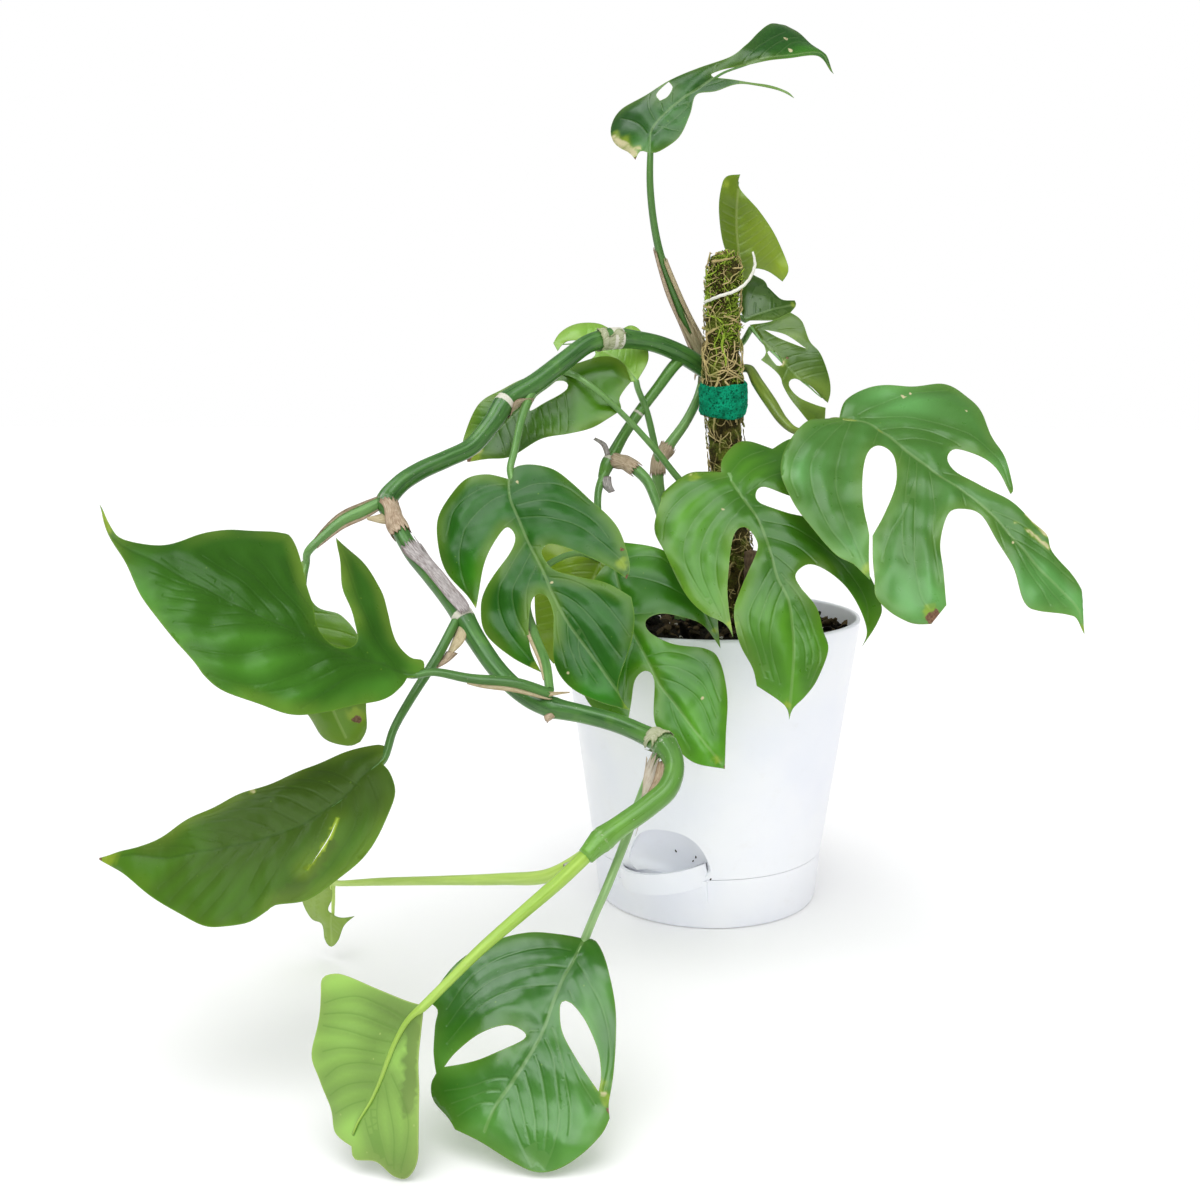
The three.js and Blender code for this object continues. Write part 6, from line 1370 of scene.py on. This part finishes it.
form = Form()
shaded = LEAVES["leaf_shaded"]["petiole"]
inner, outer = beside(shaded, 0.05, 0.7, (-0.9, -0.4, 0.2), 0.2, 1.6)
veil(form, inner, outer, bulge=0.3, seed=61)
form.piece("leaf_shaded_sheath", ["leaf_shaded"], [husk_cream])

form = Form()
centre_stalk = LEAVES["leaf_centre"]["petiole"]
wrap(form, centre_stalk, 0.0, 0.16, 0, 230, 0.3, finish=0, flare=(1.2, 0.4), jag=1.2, seed=71)
veil(form, [(-52, -10, 224), (-54, -10, 229), (-58, -9, 232)],
     [(-49.5, -11, 225), (-51.5, -11, 230), (-57, -9.5, 233)], finish=1, seed=72)
veil(form, [(-54, -12, 214), (-53, -13, 209), (-50, -13, 206)],
     [(-49, -12, 214), (-48.5, -13, 210), (-47, -13, 207)], finish=1, seed=73, bulge=1.0)
form.piece("leaf_centre_sheath", ["leaf_centre"], [husk, husk_grey])

form = Form()
wrap(form, MIDDLE_STEM, 0.70, 0.78, 0, 240, 0.3, finish=0, flare=(0.2, 0.9), jag=1.0, seed=81)
form.piece("middle_stem_sheath", ["middle_stem"], [husk])


# Moss pole: a packed core, loose strands and fresh tufts

POLE_ROUTE = smooth_route(POLE, 2.0)[0]
CAP_HEIGHT = 319.5
STRAND_HEIGHTS = (141, 322)


def pole_at(height):
    """The pole's centre and radius at a height"""
    return sampled(height, POLE_ROUTE[:, 2], POLE_ROUTE[:, (0, 1, 3)])


def pole_shape(at, angle):
    flat = np.stack([np.cos(angle) * 9, np.sin(angle) * 9, at], -1).reshape(-1, 3)
    lumps = 0.5 * wobble(flat, 9, 5, 9) + 0.35 * wobble(flat, 3.2, 6, 9) + 0.2 * wobble(flat, 1.6, 7, 9)
    return lumps.reshape(at.shape) - 1.3


# Where the moss is fresh: (height, degrees round from the front, size)
FRESH_SPOTS = ((305, -60, 13), (282, 10, 10), (318, 0, 6), (262, 60, 6), (296, 40, 8))
LEAFY_SPOTS = ((303, 25, 6), (298, -30, 5), (307, 60, 4), (282, 5, 5), (285, 45, 4))


def fresh_at(height, turn):
    """How fresh the moss is at a height and at degrees round from the front"""
    share = 0
    for level, side, size in FRESH_SPOTS:
        away = math.hypot((height - level) / size, ((turn - side + 180) % 360 - 180) / (size * 4))
        share = max(share, 1 - away)
    return share


def strand_points(rand, height, angle, length, lift, lean, curl):
    """A thin strand that creeps over the pole"""
    steps = 7
    points = []
    for _ in range(steps):
        x, y, radius = pole_at(height)
        reach = radius - 0.5 + lift * rand.uniform(0.3, 1.0)
        points.append((x + math.sin(angle) * reach, y - math.cos(angle) * reach, height, 0.0))
        height += math.sin(lean) * length / steps
        angle += math.cos(lean) * length / steps / radius
        lean += rand.normal(0, curl)
        height = min(max(height, STRAND_HEIGHTS[0]), STRAND_HEIGHTS[1])
    return points


def strands(form, rand, count, heights, thickness, length, lift, curl, tones=(0, 1)):
    """Loose strands all round the pole, each value drawn from its (low, high)"""
    for _ in range(count):
        height, angle = rand.uniform(*heights), rand.uniform(0, 2 * math.pi)
        lean = rand.uniform(-math.pi, math.pi)
        points = strand_points(rand, height, angle, rand.uniform(*length), lift, lean, curl)
        radius = rand.uniform(*thickness)
        tone = rand.uniform(*tones)
        turn = math.degrees(angle) % 360
        fresh = 1.0 if rand.uniform() < max(0.0, fresh_at(height, turn)) * 1.3 else 0.0
        points = [(*p[:3], radius * (1 - 0.5 * k / len(points))) for k, p in enumerate(points)]
        tube(form, points, 4, 1.6, 1, marks=steady(tone, fresh, 0))


rand = np.random.RandomState(11)
form = Form()
tube(form, POLE, 48, 1.1, shape=pole_shape, marks=steady(0.2, 0.0, 0.0))
strands(form, rand, 520, (142, 319), (0.16, 0.34), (5, 15), 0.9, 0.5)
strands(form, rand, 90, (246, 319), (0.25, 0.5), (10, 26), 1.3, 0.35, (0.7, 1.2))
strands(form, rand, 60, (142, 240), (0.25, 0.45), (8, 20), 1.1, 0.35, (0.2, 0.9))
strands(form, rand, 34, (246, 318), (0.5, 0.85), (9, 22), 1.2, 0.25, (0.5, 1.4))
strands(form, rand, 22, (142, 246), (0.4, 0.7), (9, 20), 1.0, 0.25, (0.3, 1.2))

# Strands that cross the pole's top
for _ in range(70):
    x, y, radius = pole_at(CAP_HEIGHT)
    angle = rand.uniform(0, 2 * math.pi)
    far = angle + rand.normal(math.pi, 0.7)
    ends = [np.array([x + math.cos(a) * radius * 0.85, y + math.sin(a) * radius * 0.85, CAP_HEIGHT - 1])
            for a in (angle, far)]
    share = np.linspace(0, 1, 6)[:, None]
    over = ends[0] * (1 - share) + ends[1] * share + rand.normal(0, 0.5, (6, 3))
    over[:, 2] += rand.uniform(1.0, 4.0) * np.sin(math.pi * share[:, 0])
    thick = rand.uniform(0.2, 0.5)
    look = (rand.uniform(0, 1.2), float(rand.uniform() < 0.35), 0)
    tube(form, [(*p, thick) for p in over], 4, 1.4, 1, marks=steady(*look))


def tuft(form, rand, height, turn, count, size, grown=1.0):
    """Short fresh moss leaves that stand out of the pole"""
    for _ in range(count):
        h = min(height + rand.normal(0, size * 0.45), 319)
        angle = math.radians(turn + rand.normal(0, size * 2.2))
        x, y, radius = pole_at(h)
        out = np.array([math.sin(angle), -math.cos(angle), 0])
        across = np.array([math.cos(angle), math.sin(angle), 0])
        root = np.array([x, y, h]) + out * (radius - 1.2)
        heading = unit(out * rand.uniform(0.4, 1.0) + across * rand.normal(0, 0.7)
                       + np.array([0, 0, rand.normal(0.3, 0.6)]))
        wide = unit(np.cross(heading, rand.normal(size=3)))
        long = rand.uniform(1.2, 2.8) * grown
        half = rand.uniform(0.18, 0.4) * grown
        bend = unit(np.cross(heading, wide)) * rand.uniform(-0.5, 0.5)
        middle = root + heading * long * 0.55 + bend
        foot = wide * half * 0.4
        points = [root - foot, root + foot, middle + wide * half, middle - wide * half,
                  root + heading * long, middle + unit(np.cross(heading, wide)) * 0.12]
        faces = [(0, 1, 5), (1, 2, 5), (2, 4, 5), (4, 3, 5), (3, 0, 5), (1, 0, 3, 2), (2, 3, 4)]
        tone = rand.uniform(0, 1)
        form.add(points, faces, 1, marks=np.tile((tone, 1.0, 0.0), (6, 1)))


for level, side, size in FRESH_SPOTS:
    tuft(form, rand, level, side, int(size * 30), size)
for level, side, size in LEAFY_SPOTS:
    tuft(form, rand, level, side, 26, size, 1.9)
tuft(form, rand, 250, 150, 200, 10)
form.piece("moss_pole_fine", ["moss_pole"], [moss, strand])


# Foam tie round the pole and the stems behind it

form = Form()
TIE_LEVEL, TIE_HEIGHT, TIE_SLOPE, TIE_CLEARANCE, TIE_THICKNESS = 251, 15.5, 0.2, 0.6, 1.4
rounds = np.array([(5.4, 5, 9.6), (4.5, 21.5, 5.2), (8, 25, 3.2)])
turns = np.linspace(0, 2 * math.pi, 150, endpoint=False)
way = np.stack([np.cos(turns), np.sin(turns)], 1)
reach = way @ rounds[:, :2].T + rounds[:, 2]
chosen = rounds[np.argmax(reach, 1)]


def band_ring(offset, level, rough):
    """One ring of the band, offset from what it holds"""
    flat = chosen[:, :2] + way * (chosen[:, 2] + offset + rough)[:, None]
    return np.column_stack([flat, np.full(len(flat), level) + TIE_SLOPE * flat[:, 1]])


levels = np.linspace(-0.5, 0.5, 17)
outer_rings, inner_rings = [], []
for level in levels:
    height = TIE_LEVEL + level * TIE_HEIGHT
    base_ring = band_ring(TIE_CLEARANCE + TIE_THICKNESS, height, 0 * turns)
    pits = 0.28 * wobble(base_ring, 2.2, 91, 9) + 0.2 * wobble(base_ring, 7, 92)
    bulge = -0.75 * abs(2 * level) ** 5 + 0.25
    wavy = 0.35 * wobble(base_ring[:, :2], 14, 93) * np.sign(level) * abs(2 * level) ** 3
    ring = band_ring(TIE_CLEARANCE + TIE_THICKNESS + bulge, height, pits)
    ring[:, 2] += wavy
    outer_rings.append(ring)
    inner = band_ring(TIE_CLEARANCE - 0.1, height, 0 * turns)
    inner[:, 2] += wavy
    inner_rings.append(inner)
rings = np.array(outer_rings + inner_rings[::-1])
total = len(rings) * len(turns)
faces = [tuple(corner % total for corner in face) for face in ring_faces(len(rings) + 1, len(turns))]
form.add(rings.reshape(-1, 3), faces)
form.piece("pole_tie_fine", ["pole_tie"], [foam])


# Soil: its uneven surface, and crumbs and white grains on it

def soil_wall(z):
    return np.interp(z, (FLOOR_HEIGHT + 3, POT_HEIGHT - 1.3), (JOINT_RADIUS - WALL + 1, RIM_RADIUS - WALL))


soil_radius = soil_wall(SOIL_HEIGHT - 2) - 0.5


def soil_level(x, y):
    """The height of the soil at a place, before its finest lumps"""
    share = np.hypot(x, y) / soil_radius
    loose = 1.4 * np.sin(x * 0.31) * np.cos(y * 0.27)
    return SOIL_HEIGHT + 0.5 - 2.4 * share**4 + loose * np.clip((1 - share) * 14, 0.25, 1)


def soil_body():
    """The soil, from its uneven surface down into the wick's well"""
    rings, spokes = 64, 150
    angles = np.linspace(0, 2 * math.pi, spokes, endpoint=False)
    radii, turn = np.meshgrid(np.linspace(0.02, 1, rings) * soil_radius, angles, indexing="ij")
    flat = np.stack([radii * np.cos(turn), radii * np.sin(turn)], -1).reshape(-1, 2)
    lumps = 0.7 * wobble(flat, 8, 101, 9) + 0.5 * wobble(flat, 3.5, 102, 9) + 0.25 * wobble(flat, 1.7, 103, 9)
    points = [np.column_stack([flat, soil_level(*flat.T) + lumps])]
    below = ((FLOOR_HEIGHT + 3.3, JOINT_RADIUS - WALL - 0.2), (FLOOR_HEIGHT + 0.4, JOINT_RADIUS - 6.6),
             (FLOOR_HEIGHT + 0.4, WICK_RADIUS - 0.8), (WICK_BOTTOM + 2.9, WICK_RADIUS - 3))
    for z, radius in below:
        points.append(np.column_stack([radius * np.cos(angles), radius * np.sin(angles), np.full(spokes, z)]))
    rows = rings + len(below)
    faces = [(a, d, c, b) for a, b, c, d in ring_faces(rows, spokes)]
    faces += [tuple(range(spokes)), tuple(range((rows - 1) * spokes, rows * spokes))[::-1]]
    form = Form()
    form.add(np.vstack(points), faces)
    return form


def lump(form, rand, centre, size, squash, marks):
    """An irregular crumb"""
    rows, sides = 5, 8
    turn = rand.uniform(0, math.pi)
    tilt = rand.normal(0, 0.5, 2)
    points = [(0, 0, -1)]
    for k in range(1, rows):
        polar = math.pi * k / rows
        reach = math.sin(polar)
        for j in range(sides):
            side = 2 * math.pi * j / sides + k * 0.3
            points.append((reach * math.cos(side), reach * math.sin(side), -math.cos(polar)))
    points.append((0, 0, 1))
    points = np.array(points) * (1 + 0.16 * rand.uniform(-1, 1, len(points)))[:, None] * squash
    c, s = math.cos(turn), math.sin(turn)
    points = points @ np.array([(c, -s, 0), (s, c, 0), (0, 0, 1)])
    points[:, 2] += points[:, :2] @ tilt
    faces = ball_faces(rows, sides)
    form.add(points * size + centre, faces, marks=np.tile(marks, (len(points), 1)))


crumbs = Form()
# The pole and the stems where they enter the soil: (x, y, clearance)
stems_at_soil = ((14.4, 8, 11), (5.5, 22, 6), (-15, 12, 5), (21.5, -7, 6))
for k in range(620):
    radius = soil_radius * math.sqrt(rand.uniform(0.0, 0.97))
    angle = rand.uniform(0, 2 * math.pi)
    x, y = radius * math.cos(angle), radius * math.sin(angle)
    size = rand.uniform(0.9, 2.6) if k % 5 else rand.uniform(2.2, 3.6)
    white = 1.0 if k % 11 == 0 else 0.0
    if white:
        size = rand.uniform(0.8, 1.8)
    squash = (rand.uniform(0.8, 1.5), rand.uniform(0.6, 1.0), rand.uniform(0.45, 0.9))
    tone = rand.uniform(-0.4, 0.8)
    beside_stem = any(math.hypot(x - a, y - b) < reach for a, b, reach in stems_at_soil)
    if beside_stem or radius + size * 1.6 > soil_radius:
        continue
    lump(crumbs, rand, (x, y, soil_level(x, y) + size * 0.25), size, squash, (tone, white, 0))
crumbs.piece("soil_crumbs", ["soil"], [earth], sharp=50)


# Pot

def object_of(form, name):
    made = bpy.data.objects.new(name, form.mesh(name))
    bpy.context.scene.collection.objects.link(made)
    return made


def turned(profile):
    """A closed body turned round the pot's axis, from [radius, height] points that start and
    end on the axis"""
    sides = POT_SIDES
    angles = np.linspace(0, 2 * math.pi, sides, endpoint=False)
    points, rows = [], []
    for radius, height in profile:
        if radius == 0:
            rows.append([len(points)] * sides)
            points.append((0, 0, height))
        else:
            rows.append(list(range(len(points), len(points) + sides)))
            points += [(radius * math.cos(t), radius * math.sin(t), height) for t in angles]
    faces = []
    for low, high in zip(rows, rows[1:]):
        for j in range(sides):
            k = (j + 1) % sides
            face = [low[j], low[k], high[k], high[j]]
            if low[j] == low[k]:
                face = face[1:]
            if high[j] == high[k]:
                face = face[:-1]
            if len(face) > 2:
                faces.append(tuple(face))
    form = Form()
    form.add(points, faces)
    return object_of(form, "turned")


def outer_radius(height):
    return JOINT_RADIUS + (height - JOINT_HEIGHT) / (POT_HEIGHT - JOINT_HEIGHT) * (RIM_RADIUS - JOINT_RADIUS)


def cone(extra, bottom, top):
    """The planter's outside from bottom to top, grown by extra"""
    low, high = outer_radius(bottom) + extra, outer_radius(top) + extra
    return turned([(0, bottom), (low, bottom), (high, top), (0, top)])


def disc(radius, bottom, top):
    return turned([(0, bottom), (radius, bottom), (radius, top), (0, top)])


def prism(outline, transform):
    """A bar with this flat outline, from 0 to 1 along its own z, then moved by transform"""
    count = len(outline)
    points = [(x, y, z) for z in (0, 1) for x, y in outline]
    faces = [tuple(range(count))[::-1], tuple(range(count, 2 * count))]
    faces += [(k, (k + 1) % count, (k + 1) % count + count, k + count) for k in range(count)]
    form = Form()
    form.add([transform(p) for p in points], faces)
    return object_of(form, "prism")


def lip_post(radius, bottom, top):
    """A round post that stands where the lip is, tilted as it is"""
    turns = np.linspace(0, 2 * math.pi, 96, endpoint=False)
    outline = [(radius * math.cos(t), radius * math.sin(t)) for t in turns]
    c, s = math.cos(-LIP_TILT), math.sin(-LIP_TILT)

    def move(p):
        x, y, z = p[0], p[1], bottom + p[2] * (top - bottom) - JOINT_HEIGHT
        return (x * c + z * s - math.sin(LIP_ANGLE) * LIP_CENTRE, y - math.cos(LIP_ANGLE) * LIP_CENTRE,
                -x * s + z * c + JOINT_HEIGHT)
    return prism(outline, move)


def run_outwards(outline, angle):
    """A bar with this outline that runs out from near the pot's axis, at an angle from the front"""
    c, s = math.cos(-angle), math.sin(-angle)
    start, end = 20, 90

    def move(p):
        x, y, z = p[0], -(start + p[2] * (end - start)), p[1]
        return (x * c - y * s, x * s + y * c, z)
    return prism(outline, move)


def bezier(p0, p1, p2, p3):
    t = np.linspace(0, 1, 15)[1:, None]
    p0, p1, p2, p3 = (np.array(p, float) for p in (p0, p1, p2, p3))
    return [tuple(p) for p in p0 * (1 - t)**3 + 3 * p1 * t * (1 - t)**2 + 3 * p2 * t**2 * (1 - t) + p3 * t**3]


def niche_arch(grow, bottom):
    """The niche's arched outline from bottom up, grown, run outwards"""
    half = NICHE_WIDTH / 2 + grow
    crown = JOINT_HEIGHT + NICHE_HEIGHT + grow
    spring = JOINT_HEIGHT + NICHE_HEIGHT * 0.2
    outline = [(-half, bottom), (half, bottom), (half, spring)]
    outline += bezier((half, spring), (half * 0.85, crown - 4), (half * 0.5, crown), (0, crown))
    outline += bezier((0, crown), (-half * 0.5, crown), (-half * 0.85, crown - 4), (-half, spring))
    return run_outwards(outline, NICHE_ANGLE)


def applied(made):
    """The mesh that the body's modifiers give"""
    graph = bpy.context.evaluated_depsgraph_get()
    graph.update()
    return bpy.data.meshes.new_from_object(made.evaluated_get(graph))


def combine(first, *others):
    """first, with each (operation, object) applied to it in turn"""
    for operation, other in others:
        step = first.modifiers.new(operation, "BOOLEAN")
        step.operation, step.object, step.solver = operation, other, "EXACT"
    mesh = applied(first)
    for used in [first] + [other for _, other in others]:
        bpy.data.objects.remove(used)
    made = bpy.data.objects.new("combined", mesh)
    bpy.context.scene.collection.objects.link(made)
    return made


def softened(made, name, width):
    """The body's mesh with its hard edges rounded and its broad faces shaded evenly"""
    step = made.modifiers.new("edges", "BEVEL")
    step.width, step.segments, step.limit_method = width * MM, 2, "ANGLE"
    step.angle_limit = math.radians(35)
    step.use_clamp_overlap = True
    made.data = applied(made)
    made.modifiers.clear()
    made.data.shade_smooth()
    made.data.set_sharp_from_angle(angle=math.radians(32))
    step = made.modifiers.new("shading", "WEIGHTED_NORMAL")
    step.weight, step.keep_sharp = 80, True
    mesh = applied(made)
    mesh.name = name
    bpy.data.objects.remove(made)
    mesh.materials.clear()
    return mesh


rim = POT_HEIGHT
cup = turned([
    (0, WICK_BOTTOM), (WICK_RADIUS, WICK_BOTTOM), (WICK_RADIUS + 2.3, FLOOR_HEIGHT - 2.6),
    (JOINT_RADIUS - 5, FLOOR_HEIGHT - 2.6), (JOINT_RADIUS - 4, JOINT_HEIGHT), (JOINT_RADIUS, JOINT_HEIGHT),
    (RIM_RADIUS, rim - 1.3), (RIM_RADIUS - 0.15, rim - 0.7), (RIM_RADIUS - 0.55, rim - 0.2),
    (RIM_RADIUS - 1.25, rim), (RIM_RADIUS - 1.95, rim - 0.2), (RIM_RADIUS - 2.35, rim - 0.7),
    (RIM_RADIUS - WALL, rim - 1.3),
    (JOINT_RADIUS - WALL + 1, FLOOR_HEIGHT + 3), (JOINT_RADIUS - 6, FLOOR_HEIGHT),
    (WICK_RADIUS, FLOOR_HEIGHT), (WICK_RADIUS - 2.3, WICK_BOTTOM + 2.5), (0, WICK_BOTTOM + 2.5),
])


def bowl(grow):
    """A hollow with one round side, as deep as the niche, whose foot comes forward again"""
    sides, rows = 64, 40
    level = 34
    radial = outer_radius(level)
    across, deep = NICHE_WIDTH / 2 + 3 + grow, NICHE_DEPTH + 1 + grow
    c, s = math.cos(-NICHE_ANGLE), math.sin(-NICHE_ANGLE)
    points = []
    for latitude in np.linspace(-math.pi / 2, math.pi / 2, rows + 1):
        reach = (JOINT_HEIGHT + NICHE_HEIGHT - level + 3 if latitude > 0 else 12.2) + grow
        for turn in np.linspace(0, 2 * math.pi, sides, endpoint=False):
            x = across * math.cos(latitude) * math.cos(turn)
            y = -radial + deep * math.cos(latitude) * math.sin(turn)
            points.append((x * c - y * s, x * s + y * c, level + reach * math.sin(latitude)))
    points = [points[0]] + points[sides:-sides] + [points[-1]]
    form = Form()
    form.add(points, ball_faces(rows, sides))
    return object_of(form, "bowl")


soil_cut = combine(object_of(soil_body(), "soil"), ("DIFFERENCE", bowl(WALL + 0.4)))
soil_mesh = soil_cut.data
bpy.data.objects.remove(soil_cut)
soil_mesh.materials.clear()
place_piece("soil_fine", soil_mesh, ["soil"], [earth])



def lip_well():
    """The room inside the lip's pocket, just clear of its walls and floor"""
    return lip_post(LIP_RADIUS - 2.4, LIP_BOTTOM + 2.4, JOINT_HEIGHT + 9)


# The niche's wall goes on down into the lip's pocket
inner_radius = JOINT_RADIUS - WALL - 0.6
surround = combine(bowl(WALL), ("INTERSECT", niche_arch(WALL, JOINT_HEIGHT)),
                   ("INTERSECT", cone(-0.5, JOINT_HEIGHT, POT_HEIGHT - 5)))
skirt = combine(bowl(WALL), ("INTERSECT", lip_well()),
                ("INTERSECT", disc(inner_radius, 15, JOINT_HEIGHT + 0.3)))
plate = combine(disc(inner_radius, 15, JOINT_HEIGHT + 0.3),
                ("DIFFERENCE", disc(inner_radius - 1.6, 10, 40)), ("INTERSECT", lip_well()))
niche = combine(bowl(0), ("INTERSECT", niche_arch(0, 15)))
planter = combine(cup, ("UNION", surround), ("UNION", skirt), ("DIFFERENCE", niche), ("UNION", plate))
place_piece("planter_fine", softened(planter, "planter_fine", 0.45), ["planter"],
            [white_plastic])

# Grains of soil that stick to the niche's wall
specks = Form()
for centre, size in (((-14.6, -46.5, 35.5), 0.62), ((-4.9, -51.2, 34.5), 0.5), ((-6.3, -50.5, 32.2), 0.5),
                     ((2.3, -58.3, 26.6), 0.7)):
    lump(specks, rand, centre, size, (1.0, 0.7, 0.8), (0.3, 0, 0))
specks.piece("niche_specks", ["planter"], [earth], sharp=50)

top, top_radius = JOINT_HEIGHT - 0.3, JOINT_RADIUS - 0.1
outer = turned([(0, 0), (FOOT_RADIUS - 1.8, 0), (FOOT_RADIUS - 0.5, 0.6), (FOOT_RADIUS + 0.1, 2.2),
                (top_radius, top), (0, top)])
cavity = turned([(0, 3), (FOOT_RADIUS - 4.5, 3), (FOOT_RADIUS - WALL, 5), (top_radius - WALL, top),
                 (top_radius - WALL, top + 8), (0, top + 8)])
planter_space = combine(cone(0.35, JOINT_HEIGHT - 0.35, LIP_TOP + 5),
                        ("DIFFERENCE", combine(niche_arch(-0.35, JOINT_HEIGHT - 5),
                                               ("DIFFERENCE", cone(-WALL, 0, POT_HEIGHT)))))
lip = combine(lip_post(LIP_RADIUS, LIP_BOTTOM, LIP_TOP), ("DIFFERENCE", planter_space))
pocket = lip_post(LIP_RADIUS - 2, LIP_BOTTOM + 2, LIP_TOP + 8)
tab = combine(run_outwards([(-24, 18.6), (24, 14.6), (24, 25.5)], LIP_ANGLE),
              ("INTERSECT", cone(1.2, 0, JOINT_HEIGHT)))
# The tab goes on before the lip: the other way round, the exact boolean leaves faces inside
reservoir = combine(outer, ("UNION", tab), ("UNION", lip), ("DIFFERENCE", cavity), ("DIFFERENCE", pocket))
place_piece("pot_reservoir_fine", softened(reservoir, "pot_reservoir_fine", 0.4), ["pot_reservoir"],
            [white_plastic])


# Floor, light and camera

floor_finish = bpy.data.materials.new("floor_pale")
floor_finish.use_nodes = True
floor_shader = floor_finish.node_tree.nodes["Principled BSDF"]
floor_shader.inputs["Base Color"].default_value = (0.97, 0.965, 0.96, 1)
floor_shader.inputs["Roughness"].default_value = 0.9
floor_shader.inputs["Specular IOR Level"].default_value = 0.0
floor_shader.inputs["Emission Color"].default_value = (1.0, 1.0, 1.0, 1)
floor_shader.inputs["Emission Strength"].default_value = 0.06
floor_mesh = bpy.data.meshes.new("floor")
floor_mesh.from_pydata([(-9, -9, 0), (9, -9, 0), (9, 9, 0), (-9, 9, 0)], [], [(0, 1, 2, 3)])
floor_mesh.materials.append(floor_finish)
floor = bpy.data.objects.new("floor", floor_mesh)
bpy.context.scene.collection.objects.link(floor)

# White to the camera, an even soft light on everything, and small softboxes for gloss
ROOM_GLOW, SOFTBOX_GLOW = 0.3, 4.5
SOFTBOXES = ((-0.3, -0.66, 0.69), (0.27, -0.5, 0.82), (-0.5, -0.1, 0.86), (0.1, -0.85, 0.5))
world = bpy.data.worlds.new("studio")
bpy.context.scene.world = world
world.use_nodes = True
air = world.node_tree
air.nodes.clear()
aim = fed(air, "TexCoord", {}, "Generated")
glow = ROOM_GLOW
for direction in SOFTBOXES:
    towards = fed(air, "VectorMath", {0: aim, 1: direction}, "Value", operation="DOT_PRODUCT")
    glow = towards.fade(0.94, 0.99) * SOFTBOX_GLOW + glow
gloss_light = fed(air, "Background", {"Color": (0.92, 0.97, 1.0, 1.0), "Strength": glow})
soft_light = fed(air, "Background", {"Color": (0.97, 0.985, 1.0, 1.0), "Strength": 0.5})
backdrop = fed(air, "Background", {"Color": (1.0, 1.0, 1.0, 1.0), "Strength": 1.0})
glossy_ray = fed(air, "LightPath", {}, "Is Glossy Ray")
camera_ray = fed(air, "LightPath", {}, "Is Camera Ray")
lit = fed(air, "MixShader", {0: glossy_ray, 1: soft_light, 2: gloss_light})
node(air, "OutputWorld", {"Surface": fed(air, "MixShader", {0: camera_ray, 1: lit, 2: backdrop})})


def sunlight(name, towards, spread, strength):
    """A soft, even light that shines along a direction"""
    light = bpy.data.lights.new(name, "SUN")
    light.angle, light.energy = math.radians(spread), strength
    made = bpy.data.objects.new(name, light)
    made.rotation_euler = Vector(towards).to_track_quat("-Z", "Y").to_euler()
    made.visible_glossy = False
    bpy.context.scene.collection.objects.link(made)


sunlight("key", (0.12, 0.3, -1.0), 50, 1.25)
sunlight("overhead", (-0.1, -0.15, -1.0), 60, 0.5)
sunlight("front", (-0.1, 1.0, -0.3), 80, 1.0)

camera = bpy.data.objects.new("camera", bpy.data.cameras.new("camera"))
bpy.context.scene.collection.objects.link(camera)
camera.location = (0, -0.65, 0.254)
camera.rotation_euler = (math.radians(90 - 9.0), 0, math.radians(4.88))
camera.data.lens = 39
camera.data.sensor_width = 36
camera.data.clip_start = 0.02
camera.data.clip_end = 30
bpy.context.scene.camera = camera
bpy.context.scene.view_settings.view_transform = "Standard"
